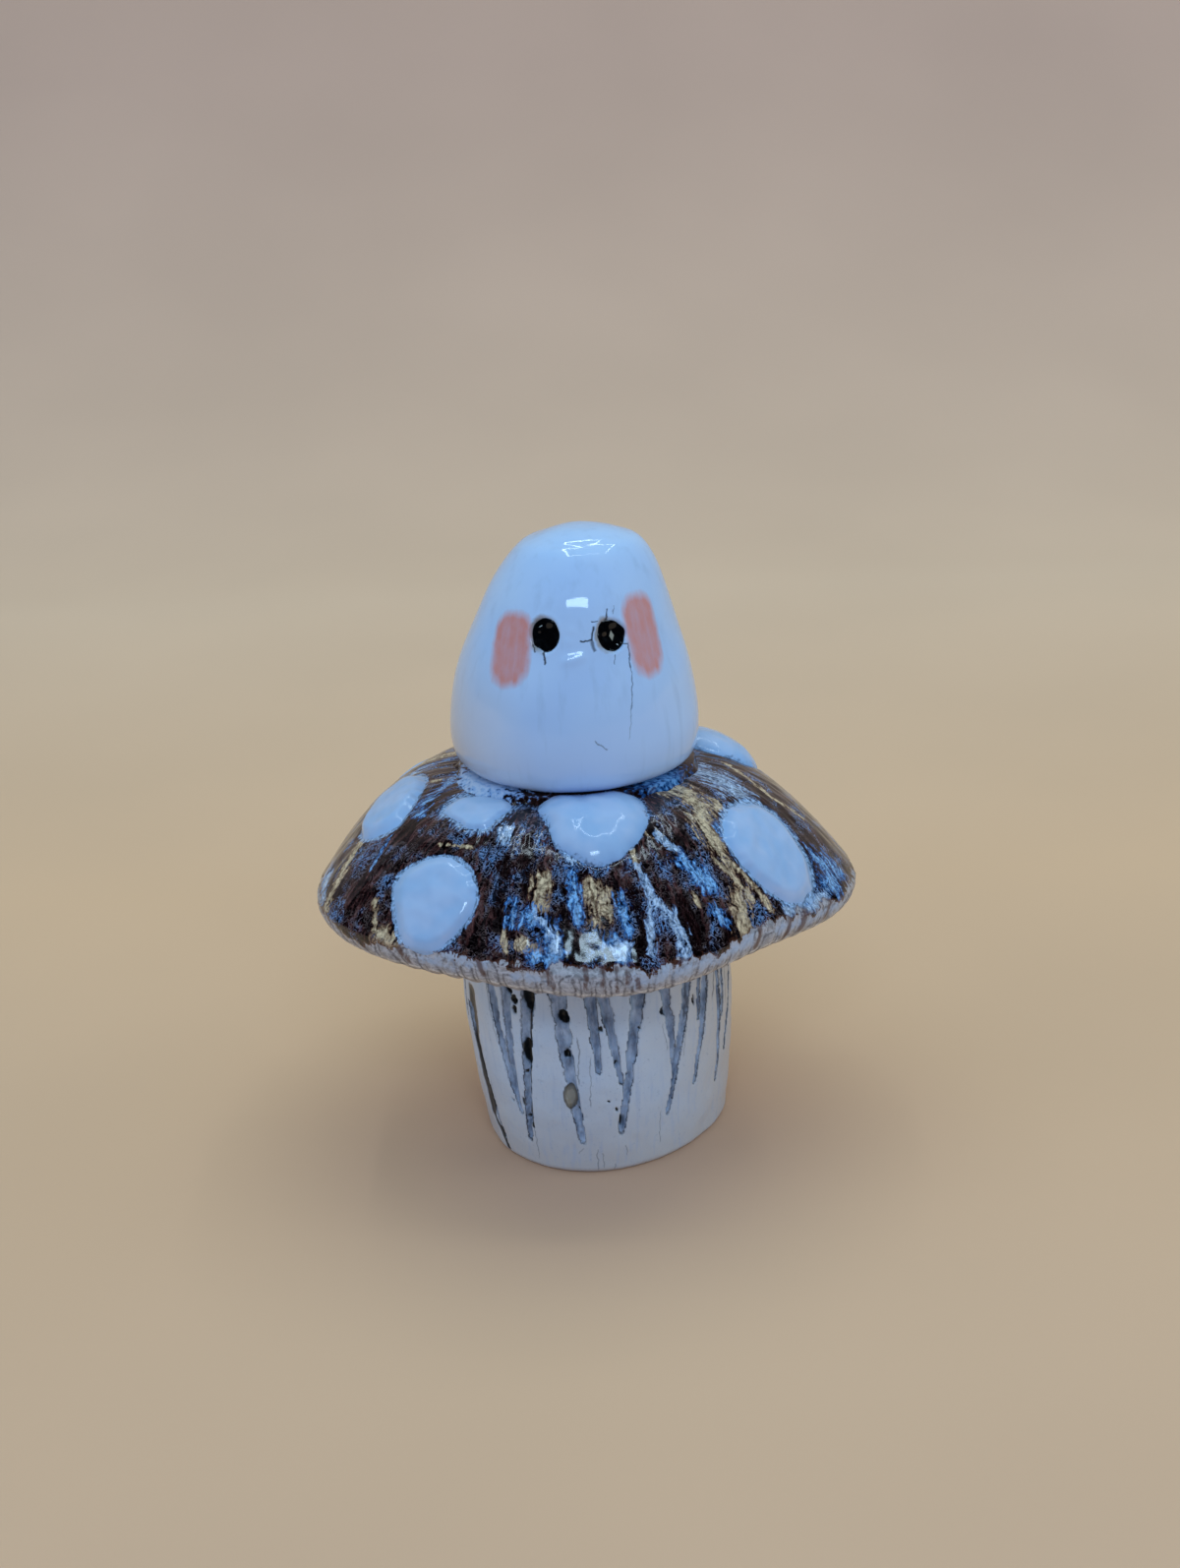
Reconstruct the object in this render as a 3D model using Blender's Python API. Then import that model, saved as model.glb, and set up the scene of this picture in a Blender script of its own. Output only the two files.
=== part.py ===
"""A small hand-built ceramic ornament: a white ghost that sits on a spotted mushroom.

The pieces are the clay parts before they are joined: a carved stem, a gilled cap,
the ghost, a pad of white clay for each spot, the black glaze that fills the two eye
holes, and the slip, a liquid clay, that joins the stem to the cap and the cap to the
ghost. Lengths are in metres and bearings in degrees anticlockwise from +X, seen from
above. +Z is up, the ghost looks along -Y, and the origin is the middle of the foot,
on the table.
"""

import math

import bmesh
import bpy
from mathutils import Matrix, Vector

# What is left between one clay piece and the next
CLAY_GAP = 0.0003

# Stem: a stout clay barrel with a soft edge at the foot and the top
STEM_HEIGHT = 0.0310
STEM_FOOT_RADIUS = 0.0152
STEM_BELLY_RADIUS = 0.0169
STEM_NECK_RADIUS = 0.0163
STEM_BELLY_SHARE = 0.62
STEM_EDGE = 0.0011
STEM_LEAN = -0.0011

# Carved strokes: bearing and height share at the top, the same at the tip, and width
STROKE_DEPTH = 0.0007
FRONT_STROKES = (
    (-156, 0.62, -139, 0.02, 0.0015),
    (-138, 1.00, -125, 0.24, 0.0020),
    (-126, 1.00, -126, 0.27, 0.0019),
    (-113, 1.00, -123, 0.12, 0.0021),
    (-105, 1.00, -99, 0.14, 0.0026),
    (-92, 1.00, -90, 0.46, 0.0022),
    (-89, 1.00, -81, 0.40, 0.0020),
    (-67, 1.00, -83, 0.17, 0.0025),
    (-60, 1.00, -55, 0.36, 0.0024),
    (-39, 1.00, -60, 0.20, 0.0022),
    (-27, 1.00, -43, 0.28, 0.0021),
    (-21, 1.00, -25, 0.22, 0.0018),
    (4, 1.00, -18, 0.33, 0.0019),
)
BACK_STROKE_COUNT = 12
BACK_STROKE_START = 19
BACK_STROKE_END = 196
BACK_STROKE_WIDTH = 0.0022

# Slip, the liquid clay between stem and cap and between cap and ghost
SLIP_THICKNESS = 0.0006
STEM_SLIP_RADIUS = 0.0125
GHOST_SLIP_RADIUS = 0.0122
LEDGE_REACH = 0.0036
LEDGE_BEARING = -142
LEDGE_SPREAD = 34

# Cap: a flat seat, a dome that steepens to the widest line, a rim rolled under it
CAP_RADIUS = 0.0311
CAP_SEAT_RADIUS = 0.0120
CAP_CROWN_HEIGHT = 0.0150
CAP_SHIFT = -0.0021
DOME_POWER = 2.4
RIM_BAND = 0.0042
RIM_ROLL = 0.0044
RIM_DROP = 0.0026
GILL_COUNT = 72
GILL_DEPTH = 0.0006
GILL_START = 0.0180

# Ghost: an egg with a flat foot, leaning a little to the right
GHOST_HEIGHT = 0.0280
GHOST_RADIUS = 0.01475
GHOST_SHIFT = -0.0017
GHOST_LEAN = 0.0014
GHOST_BOW = -0.0005
GHOST_OUTLINE = (
    (0.00, 1.000), (0.17, 0.993), (0.34, 0.965), (0.49, 0.920), (0.668, 0.780),
    (0.807, 0.600), (0.935, 0.400), (1.00, 0.200), (0.98, 0.065), (0.90, 0.012), (0.79, 0.000),
)

# Eyes: holes pierced with a stick, part filled with black glaze
EYE_HOLE_RADIUS = 0.0015
EYE_HOLE_DEPTH = 0.0030
EYE_RECESS = 0.0004
EYES = {"eye_left": (-108, 0.655), "eye_right": (-68.5, 0.640)}

# Spots: bearing, share of the way down the dome, length down the slope, width, thickness
SPOTS = {
    "spot_front": (-84, 0.295, 0.0122, 0.0122, 0.0021),
    "spot_front_left": (-124, 0.825, 0.0122, 0.0102, 0.0013),
    "spot_upper_left": (-127, 0.32, 0.0072, 0.0086, 0.0011),
    "spot_left": (-167, 0.53, 0.0112, 0.0096, 0.0013),
    "spot_right": (-32, 0.735, 0.0155, 0.0115, 0.0013),
    "spot_back_right": (28, 0.40, 0.0110, 0.0120, 0.0014),
    "spot_back": (84, 0.66, 0.0110, 0.0105, 0.0013),
    "spot_back_left": (140, 0.77, 0.0100, 0.0095, 0.0013),
}

# Handmade unevenness: waves round the piece, size, bearing of a crest.
# Swells are shares of the radius, lifts are in metres.
STEM_SWELL = ((2, 0.026, 59), (3, 0.030, 11))
CAP_SWELL = ((2, 0.0275, 10), (3, 0.014, -15), (4, 0.012, -4), (5, 0.036, -2))
CAP_LIFT = ((1, 0.0010, -126), (2, 0.0007, 58), (3, 0.00065, -33), (4, 0.0004, 29), (5, 0.0003, 31))
SPOT_SWELL = ((2, 0.03, 20), (3, 0.05, 70))

# Mesh fineness
STEM_STEPS = 96
STEM_RINGS = 10
CAP_STEPS = 2 * GILL_COUNT
DOME_RINGS = 8
GHOST_STEPS = 48
GHOST_RINGS = 2
SPOT_STEPS = 20
SLIP_STEPS = 48
EYE_STEPS = 16
WELD = 1e-7
FLAT_ANGLE = math.radians(35)

# Colours, linear red, green, blue, with roughness
WHITE_CLAY = ((0.62, 0.62, 0.60), 0.45)
WHITE_GLAZE = ((0.74, 0.78, 0.82), 0.12)
BROWN_GLAZE = ((0.055, 0.030, 0.028), 0.15)
BLACK_GLAZE = ((0.006, 0.006, 0.008), 0.08)
SLIP_CLAY = ((0.55, 0.54, 0.52), 0.60)

# Heights that follow from the sizes above
STEM_SLIP_BASE = STEM_HEIGHT + CLAY_GAP
CAP_UNDERSIDE = STEM_SLIP_BASE + SLIP_THICKNESS + CLAY_GAP
CAP_SEAT = CAP_UNDERSIDE + CAP_CROWN_HEIGHT
RIM_EDGE = CAP_UNDERSIDE - RIM_DROP
CAP_WIDEST = RIM_EDGE + RIM_BAND
GHOST_BASE = CAP_SEAT + CLAY_GAP + SLIP_THICKNESS + CLAY_GAP


def wave_sum(waves, bearing):
    """Sum of waves, each (count round, size, bearing of a crest), at a bearing."""
    return sum(size * math.cos(count * math.radians(bearing - crest)) for count, size, crest in waves)


def polar(point):
    """Distance from the turning axis, and bearing."""
    return math.hypot(point.x, point.y), math.degrees(math.atan2(point.y, point.x))


def at_polar(radius, bearing, height):
    """The point at a distance from the turning axis, a bearing and a height."""
    angle = math.radians(bearing)
    return Vector((radius * math.cos(angle), radius * math.sin(angle), height))


def smooth_curve(knots, steps):
    """Points on a curve that passes through the knots, with so many steps to each span."""
    padded = [knots[0]] + list(knots) + [knots[-1]]
    points = []
    for before, start, end, after in zip(padded, padded[1:], padded[2:], padded[3:]):
        for step in range(steps):
            t = step / steps
            points.append(tuple(
                0.5 * (2 * b + (c - a) * t + (2 * a - 5 * b + 4 * c - d) * t ** 2
                       + (3 * b - a - 3 * c + d) * t ** 3)
                for a, b, c, d in zip(before, start, end, after)))
    points.append(tuple(knots[-1]))
    return points


def add_piece(name, shape, finish):
    """A named object with its own material, from a finished bmesh."""
    mesh = bpy.data.meshes.new(name)
    shape.to_mesh(mesh)
    shape.free()
    mesh.shade_smooth()
    mesh.set_sharp_from_angle(angle=FLAT_ANGLE)
    colour, roughness = finish
    material = bpy.data.materials.new(name)
    material.use_nodes = True
    surface = material.node_tree.nodes["Principled BSDF"]
    surface.inputs["Base Color"].default_value = (*colour, 1)
    surface.inputs["Roughness"].default_value = roughness
    surface.inputs["Metallic"].default_value = 0
    mesh.materials.append(material)
    piece = bpy.data.objects.new(name, mesh)
    bpy.context.collection.objects.link(piece)
    return piece


def turned(outline, steps):
    """A closed solid of revolution from an outline, top centre to foot centre."""
    shape = bmesh.new()
    corners = [shape.verts.new((radius, 0, height)) for radius, height in outline]
    edges = [shape.edges.new(pair) for pair in zip(corners, corners[1:])]
    bmesh.ops.spin(shape, geom=corners + edges, cent=(0, 0, 0), axis=(0, 0, 1),
                   angle=math.tau, steps=steps, use_merge=True)
    bmesh.ops.remove_doubles(shape, verts=shape.verts, dist=WELD)
    bmesh.ops.recalc_face_normals(shape, faces=shape.faces)
    return shape


def pressed(shape, press):
    """Moves each vertex of a round shape to where the potter's hands pressed it."""
    for vert in shape.verts:
        vert.co = press(vert.co)
    bmesh.ops.recalc_face_normals(shape, faces=shape.faces)
    return shape


# Stem

def stem_radius(height):
    """Radius of the plain barrel: it swells to the belly, then draws in to the neck."""
    belly_height = STEM_HEIGHT * STEM_BELLY_SHARE
    if height < belly_height:
        rise = math.sin(math.pi / 2 * height / belly_height)
        return STEM_FOOT_RADIUS + (STEM_BELLY_RADIUS - STEM_FOOT_RADIUS) * rise
    fall = 1 - math.cos(math.pi / 2 * (height - belly_height) / (STEM_HEIGHT - belly_height))
    return STEM_BELLY_RADIUS + (STEM_NECK_RADIUS - STEM_BELLY_RADIUS) * fall


def all_strokes():
    """The strokes seen from the front, and the same rhythm carried on round the back."""
    strokes = list(FRONT_STROKES)
    pitch = (BACK_STROKE_END - BACK_STROKE_START) / (BACK_STROKE_COUNT - 1)
    for number in range(BACK_STROKE_COUNT):
        top = BACK_STROKE_START + pitch * number
        slant = pitch * 0.35 * math.cos(2.4 * number)
        tip_share = 0.34 + 0.20 * math.sin(1.9 * number)
        strokes.append((top, 1.0, top + slant, tip_share, BACK_STROKE_WIDTH))
    return strokes


STROKES = all_strokes()


def stroke_depth(bearing, height):
    """How deep the carving tool went in at a place on the stem's side."""
    share = height / STEM_HEIGHT
    depth = 0
    for top_bearing, top_share, tip_bearing, tip_share, width in STROKES:
        along = (top_share - share) / (top_share - tip_share)
        if not 0 <= along < 1:
            continue
        middle = top_bearing + (tip_bearing - top_bearing) * along
        turn = (bearing - middle + 180) % 360 - 180
        across = abs(math.radians(turn)) * STEM_BELLY_RADIUS / (width * (1 - 0.7 * along) / 2)
        if across < 1:
            depth = max(depth, STROKE_DEPTH * (1 - across ** 2))
    return depth


def press_stem(point):
    """Wobble, lean and carving of the stem."""
    radius, bearing = polar(point)
    carved = stroke_depth(bearing, point.z) if radius > stem_radius(point.z) - STEM_EDGE / 2 else 0
    radius = radius * (1 + wave_sum(STEM_SWELL, bearing)) - carved
    place = at_polar(radius, bearing, point.z)
    place.x += STEM_LEAN * point.z / STEM_HEIGHT
    return place


def make_stem():
    """The barrel, with its soft edges and carved side."""
    soft = STEM_EDGE * (1 - math.sqrt(0.5))
    low, high = STEM_EDGE, STEM_HEIGHT - STEM_EDGE
    outline = [(0, STEM_HEIGHT), (stem_radius(high) - STEM_EDGE, STEM_HEIGHT)]
    outline.append((stem_radius(high) - soft, STEM_HEIGHT - soft))
    for ring in range(STEM_RINGS + 1):
        height = high + (low - high) * ring / STEM_RINGS
        outline.append((stem_radius(height), height))
    outline += [(stem_radius(low) - soft, soft), (stem_radius(low) - STEM_EDGE, 0), (0, 0)]
    return add_piece("stem", pressed(turned(outline, STEM_STEPS), press_stem), WHITE_CLAY)


# Cap

def dome_height(radius):
    """Height of the plain dome's surface: flat on the seat, steeper and steeper to the rim."""
    share = max(0, radius - CAP_SEAT_RADIUS) / (CAP_RADIUS - CAP_SEAT_RADIUS)
    return CAP_SEAT - (CAP_SEAT - CAP_WIDEST) * share ** DOME_POWER


def press_cap(point):
    """Wobble of the cap, which grows from nothing on the seat to its full size at the rim."""
    radius, bearing = polar(point)
    rim_share = (radius ** 2 - CAP_SEAT_RADIUS ** 2) / (CAP_RADIUS ** 2 - CAP_SEAT_RADIUS ** 2)
    rim_share = max(0, rim_share)
    height = point.z + rim_share * wave_sum(CAP_LIFT, bearing)
    place = at_polar(radius * (1 + rim_share * wave_sum(CAP_SWELL, bearing)), bearing, height)
    place.x += CAP_SHIFT
    return place


def cut_gill(point):
    """A gill groove on the underside, which runs out over the rolled rim as a tick."""
    radius, bearing = polar(point)
    reach = (radius - GILL_START) / (CAP_RADIUS - GILL_START)
    if point.z >= CAP_WIDEST or not 0 < reach < 1:
        return point
    groove = (1 - math.cos(GILL_COUNT * math.radians(bearing))) / 2
    return point + Vector((0, 0, GILL_DEPTH * groove * math.sqrt(math.sin(math.pi * reach))))


def make_cap():
    """Seat, dome, rolled rim and shallow gilled underside."""
    outline = [(0, CAP_SEAT)]
    for ring in range(DOME_RINGS + 1):
        radius = CAP_SEAT_RADIUS + (CAP_RADIUS - CAP_SEAT_RADIUS) * ring / DOME_RINGS
        outline.append((radius, dome_height(radius)))
    for angle in (30, 60, 90):
        turn = math.radians(angle)
        rolled = CAP_RADIUS - RIM_ROLL * (1 - math.cos(turn))
        outline.append((rolled, CAP_WIDEST - RIM_BAND * math.sin(turn)))
    rim_inner = CAP_RADIUS - RIM_ROLL
    for share in (0.33, 0.67, 1.0):
        radius = rim_inner + (GILL_START - rim_inner) * share
        outline.append((radius, RIM_EDGE + (CAP_UNDERSIDE - RIM_EDGE) * math.sin(math.pi / 2 * share)))
    outline.append((0, CAP_UNDERSIDE))
    shape = turned(outline, CAP_STEPS)
    return add_piece("cap", pressed(shape, lambda point: press_cap(cut_gill(point))), BROWN_GLAZE)


def above_dome(plan, height):
    """The point over a plan position from the cap's axis, at a height square to the dome."""
    def surface(offset):
        radius, bearing = polar(plan + offset)
        return press_cap(at_polar(radius, bearing, dome_height(radius)))
    side, front = Vector((WELD * 100, 0, 0)), Vector((0, WELD * 100, 0))
    normal = (surface(side) - surface(-side)).cross(surface(front) - surface(-front)).normalized()
    return surface(Vector((0, 0, 0))) + normal * height


# Spots

def make_spot(name, bearing, share, length, width, thickness):
    """A pat of white clay pressed on the dome: a button outline, laid over the curve."""
    reach = CAP_SEAT_RADIUS + (CAP_RADIUS - CAP_SEAT_RADIUS) * share
    step = (CAP_RADIUS - CAP_SEAT_RADIUS) / DOME_RINGS
    slope = math.atan2(dome_height(reach - step) - dome_height(reach + step), 2 * step)
    outward = at_polar(1, bearing, 0)
    across = at_polar(1, bearing + 90, 0)
    centre = outward * reach
    button = [(0, 1), (0.55, 0.97), (0.82, 0.80), (0.96, 0.50), (1, 0.22), (0.95, 0), (0.5, 0), (0, 0)]

    def lay(point):
        radius, angle = polar(point)
        spread = at_polar(radius * (1 + wave_sum(SPOT_SWELL, angle + bearing)), angle, 0)
        plan = centre + outward * spread.x * length / 2 * math.cos(slope) + across * spread.y * width / 2
        return above_dome(plan, CLAY_GAP + point.z * thickness)

    return add_piece(name, pressed(turned(button, SPOT_STEPS), lay), WHITE_GLAZE)


# Slip joints

def make_stem_slip():
    """A thin disc of slip between the stem's top and the cap's flat underside."""
    edge = SLIP_THICKNESS / 3
    outline = [(0, SLIP_THICKNESS), (STEM_SLIP_RADIUS - edge, SLIP_THICKNESS),
               (STEM_SLIP_RADIUS, SLIP_THICKNESS / 2), (STEM_SLIP_RADIUS - edge, 0), (0, 0)]
    place = Vector((STEM_LEAN, 0, STEM_SLIP_BASE))
    shape = pressed(turned(outline, SLIP_STEPS), lambda point: point + place)
    return add_piece("stem_slip_joint", shape, SLIP_CLAY)


def ghost_slip(room):
    """Slip under the ghost, squeezed out at the front left as a ledge on the dome, grown by some room."""
    outline = [(0, 1), (0.8, 1), (0.95, 0.85), (1, 0.5), (0.95, 0.1), (0.8, 0), (0, 0)]

    def spread(point):
        share, bearing = polar(point)
        turn = (bearing - LEDGE_BEARING + 180) % 360 - 180
        squeezed = LEDGE_REACH * math.exp(-(turn / LEDGE_SPREAD) ** 2)
        plan = at_polar(share * (GHOST_SLIP_RADIUS + squeezed + room), bearing, 0)
        return above_dome(plan, CLAY_GAP - room + point.z * (SLIP_THICKNESS + 2 * room))

    return pressed(turned(outline, SLIP_STEPS), spread)


# Ghost and eyes

GHOST_CURVE = [(radius * GHOST_RADIUS, height * GHOST_HEIGHT)
               for radius, height in smooth_curve(GHOST_OUTLINE, GHOST_RINGS)]


def ghost_axis(height):
    """How far the ghost's middle lies from the foot's middle, along X, at a height over its base."""
    share = height / GHOST_HEIGHT
    return GHOST_SHIFT + GHOST_LEAN * share + GHOST_BOW * 4 * share * (1 - share)


def ghost_surface(bearing, height):
    """A point on the ghost's side and the outward direction there."""
    for (upper_radius, upper), (lower_radius, lower) in zip(GHOST_CURVE, GHOST_CURVE[1:]):
        if upper >= height >= lower:
            break
    share = (upper - height) / (upper - lower)
    place = at_polar(upper_radius + (lower_radius - upper_radius) * share, bearing, GHOST_BASE + height)
    place.x += ghost_axis(height)
    outward = at_polar(upper - lower, bearing, lower_radius - upper_radius)
    return place, outward.normalized()


def ghost_egg(room):
    """The leaning egg, grown by some room all over."""
    rise = (GHOST_HEIGHT + 2 * room) / GHOST_HEIGHT
    outline = [(radius + room if radius else 0, height * rise - room) for radius, height in GHOST_CURVE]

    def lean(point):
        return point + Vector((ghost_axis(point.z), 0, GHOST_BASE))

    return pressed(turned(outline + [(0, -room)], GHOST_STEPS), lean)


def make_cutter(name, shape):
    """A shape that only cuts others, and isn't a piece."""
    cutter = add_piece(name, shape, BLACK_GLAZE)
    cutter.hide_render = True
    cutter.display_type = "WIRE"
    return cutter


def cut_away(piece, cutter):
    """Cuts the cutter's shape out of a piece."""
    cut = piece.modifiers.new(cutter.name, "BOOLEAN")
    cut.operation = "DIFFERENCE"
    cut.solver = "EXACT"
    cut.object = cutter


def make_ghost():
    """The egg, with a hole pierced square to its side for each eye."""
    ghost = add_piece("ghost_body", ghost_egg(0), WHITE_GLAZE)
    for name, (bearing, share) in EYES.items():
        mouth, outward = ghost_surface(bearing, share * GHOST_HEIGHT)
        stick = bmesh.new()
        bmesh.ops.create_cone(stick, cap_ends=True, segments=EYE_STEPS, radius1=EYE_HOLE_RADIUS,
                              radius2=EYE_HOLE_RADIUS, depth=2 * EYE_HOLE_DEPTH)
        turn = outward.to_track_quat("Z", "Y").to_matrix().to_4x4()
        bmesh.ops.transform(stick, verts=stick.verts, matrix=Matrix.Translation(mouth) @ turn)
        cut_away(ghost, make_cutter(name + "_stick", stick))


def make_eye(name, bearing, share):
    """The pool of black glaze in an eye hole, a little dished."""
    mouth, outward = ghost_surface(bearing, share * GHOST_HEIGHT)
    radius = EYE_HOLE_RADIUS - CLAY_GAP
    back = CLAY_GAP - EYE_HOLE_DEPTH
    outline = [(0, -1.5 * EYE_RECESS), (0.6 * radius, -1.2 * EYE_RECESS), (0.92 * radius, -EYE_RECESS),
               (radius, -1.4 * EYE_RECESS), (radius, back + EYE_RECESS), (0.8 * radius, back), (0, back)]
    shape = turned(outline, EYE_STEPS)
    turn = outward.to_track_quat("Z", "Y").to_matrix().to_4x4()
    bmesh.ops.transform(shape, verts=shape.verts, matrix=Matrix.Translation(mouth) @ turn)
    return add_piece(name, shape, BLACK_GLAZE)


def main():
    """Clears the scene and makes every piece."""
    for item in list(bpy.data.objects):
        bpy.data.objects.remove(item, do_unlink=True)
    make_stem()
    make_stem_slip()
    make_cap()
    ghost_room = make_cutter("ghost_with_room", ghost_egg(CLAY_GAP))
    slip_room = make_cutter("slip_with_room", ghost_slip(CLAY_GAP))
    for name, sizes in SPOTS.items():
        spot = make_spot(name, *sizes)
        cut_away(spot, ghost_room)
        cut_away(spot, slip_room)
    add_piece("ghost_slip_joint", ghost_slip(0), SLIP_CLAY)
    make_ghost()
    for name, sizes in EYES.items():
        make_eye(name, *sizes)


main()
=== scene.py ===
# %% [markdown]
# # A ghost on a mushroom, in glazed clay
#
# The object is a hand-built ornament, about as tall as a thumb. A potter rolled a stout stem and
# carved it, pinched a cap, pressed white pads on it, joined a small ghost to its crown with slip
# and fired it with running glazes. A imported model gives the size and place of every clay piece.
# This lesson keeps those sizes and makes the surface a hand would feel.

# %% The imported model, which fixes every size and place
import functools
import math

import bmesh
import bpy
import numpy as np
from mathutils import Matrix, Vector


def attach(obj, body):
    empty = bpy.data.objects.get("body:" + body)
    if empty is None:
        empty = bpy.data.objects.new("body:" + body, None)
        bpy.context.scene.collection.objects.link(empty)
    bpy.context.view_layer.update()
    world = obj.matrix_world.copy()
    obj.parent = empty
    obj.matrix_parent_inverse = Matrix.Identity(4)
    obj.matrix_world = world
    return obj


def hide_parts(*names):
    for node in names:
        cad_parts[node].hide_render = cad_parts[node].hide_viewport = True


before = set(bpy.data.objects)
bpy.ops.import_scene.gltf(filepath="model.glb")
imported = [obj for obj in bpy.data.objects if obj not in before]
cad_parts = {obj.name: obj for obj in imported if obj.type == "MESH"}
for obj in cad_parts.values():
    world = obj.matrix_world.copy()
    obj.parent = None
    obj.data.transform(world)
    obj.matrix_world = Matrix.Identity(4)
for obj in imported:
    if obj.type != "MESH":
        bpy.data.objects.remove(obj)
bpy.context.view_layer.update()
MM = 0.001

# %% [markdown]
# ## The camera
#
# The camera stands a forearm's length away and looks a little down, held a touch askew. Its lens
# follows from the focal length and the height of the picture, both in pixels.

# %% The camera, held by hand
PHOTO_HEIGHT = 1594
FOCAL_PIXELS = 2085.8
SENSOR = 36
VIEW_DISTANCE = 247 * MM
VIEW_ELEVATION = math.radians(21)
VIEW_ROLL = math.radians(2.29)
VIEW_TARGET = Vector((-0.22, 0, 44.53)) * MM

camera_data = bpy.data.cameras.new("camera")
camera_data.sensor_width = SENSOR
camera_data.lens = FOCAL_PIXELS * SENSOR / PHOTO_HEIGHT
camera_data.clip_start = 10 * MM
camera = bpy.data.objects.new("camera", camera_data)
bpy.context.collection.objects.link(camera)
backwards = Vector((0, -math.cos(VIEW_ELEVATION), math.sin(VIEW_ELEVATION)))
aim = (-backwards).to_track_quat("-Z", "Y").to_matrix() @ Matrix.Rotation(-VIEW_ROLL, 3, "Z")
camera.matrix_world = Matrix.Translation(VIEW_TARGET + backwards * VIEW_DISTANCE) @ aim.to_4x4()
bpy.context.scene.camera = camera
print("lens %.1f mm" % camera_data.lens)

# %% [markdown]
# ## Colours, nodes and layers
#
# A colour picker shows sRGB values, but shader nodes count light, so one function turns each hex
# colour linear. A second one adds any node with its settings and its links. Paint and glaze lie in
# layers, so a third one takes a table of them: what masks a layer, where the mask starts and where
# it is full, how much it then covers, and its colour.

# %% Helpers for every material
# A Mix node has its colours after five inputs for other kinds of value, and its mixed colour third
OTHER_KINDS, MIXED_COLOUR = (None,) * 5, 2


def colour(hex_code):
    """Linear red, green, blue and alpha of an sRGB hex colour."""
    parts = [int(hex_code[start:start + 2], 16) / 255 for start in (0, 2, 4)]
    return *(part / 12.92 if part <= 0.04045 else ((part + 0.055) / 1.055) ** 2.4 for part in parts), 1


def add_node(tree, kind, *inputs, out=0, stops={}, **named):
    """Adds a node, such as "Math ADD", and returns one output, or all for None.

    Inputs come in order or by their names, each a socket, a hex colour or a value. A name that
    starts with a small letter is a setting.
    """
    kind, *operation = kind.split()
    node = tree.nodes.new("ShaderNode" + kind)
    if operation:
        node.operation = operation[0]
    for number, (position, hex_code) in enumerate(stops.items()):
        stop = node.color_ramp.elements[number] if number < 2 else node.color_ramp.elements.new(position)
        stop.position, stop.color = position, colour(hex_code)
    for key, value in [*named.items(), *enumerate(inputs)]:
        if isinstance(value, bpy.types.NodeSocket):
            tree.links.new(value, node.inputs[key])
        elif isinstance(key, str) and key[0].islower():
            setattr(node, key, value)
        elif value is not None:
            node.inputs[key].default_value = colour(value) if isinstance(value, str) else value
    return node.outputs if out is None else node.outputs[out]


def new_material(name):
    """An empty material, and add_node bound to its tree."""
    material = bpy.data.materials.new(name)
    material.use_nodes = True
    material.node_tree.nodes.clear()
    return material, functools.partial(add_node, material.node_tree)


def layered(add, base, layers):
    """Lays a table of layers, each (mask, start, full, cover, colour), over a base colour."""
    for value, start, full, cover, tone in layers:
        share = add("MapRange", value, start, full, 0, cover)
        base = add("Mix", share, *OTHER_KINDS, base, tone, out=MIXED_COLOUR, data_type="RGBA")
    return base


def shaken(add, place, size, reach):
    """A place pushed about by soft noise with bumps of a size, and the push, which goes as far as reach."""
    noise = add("TexNoise", Vector=place, Scale=1 / size, Detail=2, out="Color")
    centred = add("VectorMath SUBTRACT", noise, (0.5, 0.5, 0.5))
    push = add("VectorMath SCALE", centred, Scale=reach)
    return add("VectorMath ADD", place, push), push


def end_material(add, base, roughness, bump, ior=1.5):
    """Closes a material with one shader, over a bump of (height, strength, distance)."""
    height, strength, distance = bump
    normal = add("Bump", Height=height, Strength=strength, Distance=distance)
    shader = add("BsdfPrincipled", base, Roughness=roughness, IOR=ior, Normal=normal)
    add("OutputMaterial", Surface=shader, out=None)


# %% [markdown]
# ## The table and the light
#
# Small pots are photographed on a sheet of paper that bends up behind them, so that no edge
# shows. The sheet here is a profile of a few points with an arc for the bend, extruded sideways.
# Most light is soft and comes from a fill overhead, two pale walls and a faint sky, none of which
# wet glaze mirrors. A square of thin strip lamps and a window in front add little light, but the
# glaze mirrors them as crisp lines and a bar.

# %% A sheet of paper that bends up behind the piece
SHEET_WIDTH = 3.0
SHEET_FRONT = -1.2
BEND_START = 0.26
BEND_RADIUS = 0.38
SHEET_TOP = 1.6
BEND_POINTS = 24
# The gradient is painted light and shade on the paper: it runs from the front of the floor to the top of the
# bend
GRADE_START, GRADE_END = -0.08, 0.53
PAINTED_LIGHT_STOPS = {0: "D6AA8E", 0.25: "DDB090", 0.53: "DEB8A0", 1: "C49E90"}
CLOUD_SIZE = 0.09


def to_mesh(shape, name):
    """Ends a bmesh as a mesh with its faces outward."""
    bmesh.ops.recalc_face_normals(shape, faces=shape.faces)
    mesh = bpy.data.meshes.new(name)
    shape.to_mesh(mesh)
    shape.free()
    return mesh


def quarter_turn(steps):
    """Sine and cosine at even steps of a quarter turn."""
    return [(math.sin(angle), math.cos(angle)) for angle in np.linspace(0, math.pi / 2, steps + 1)]


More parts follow.
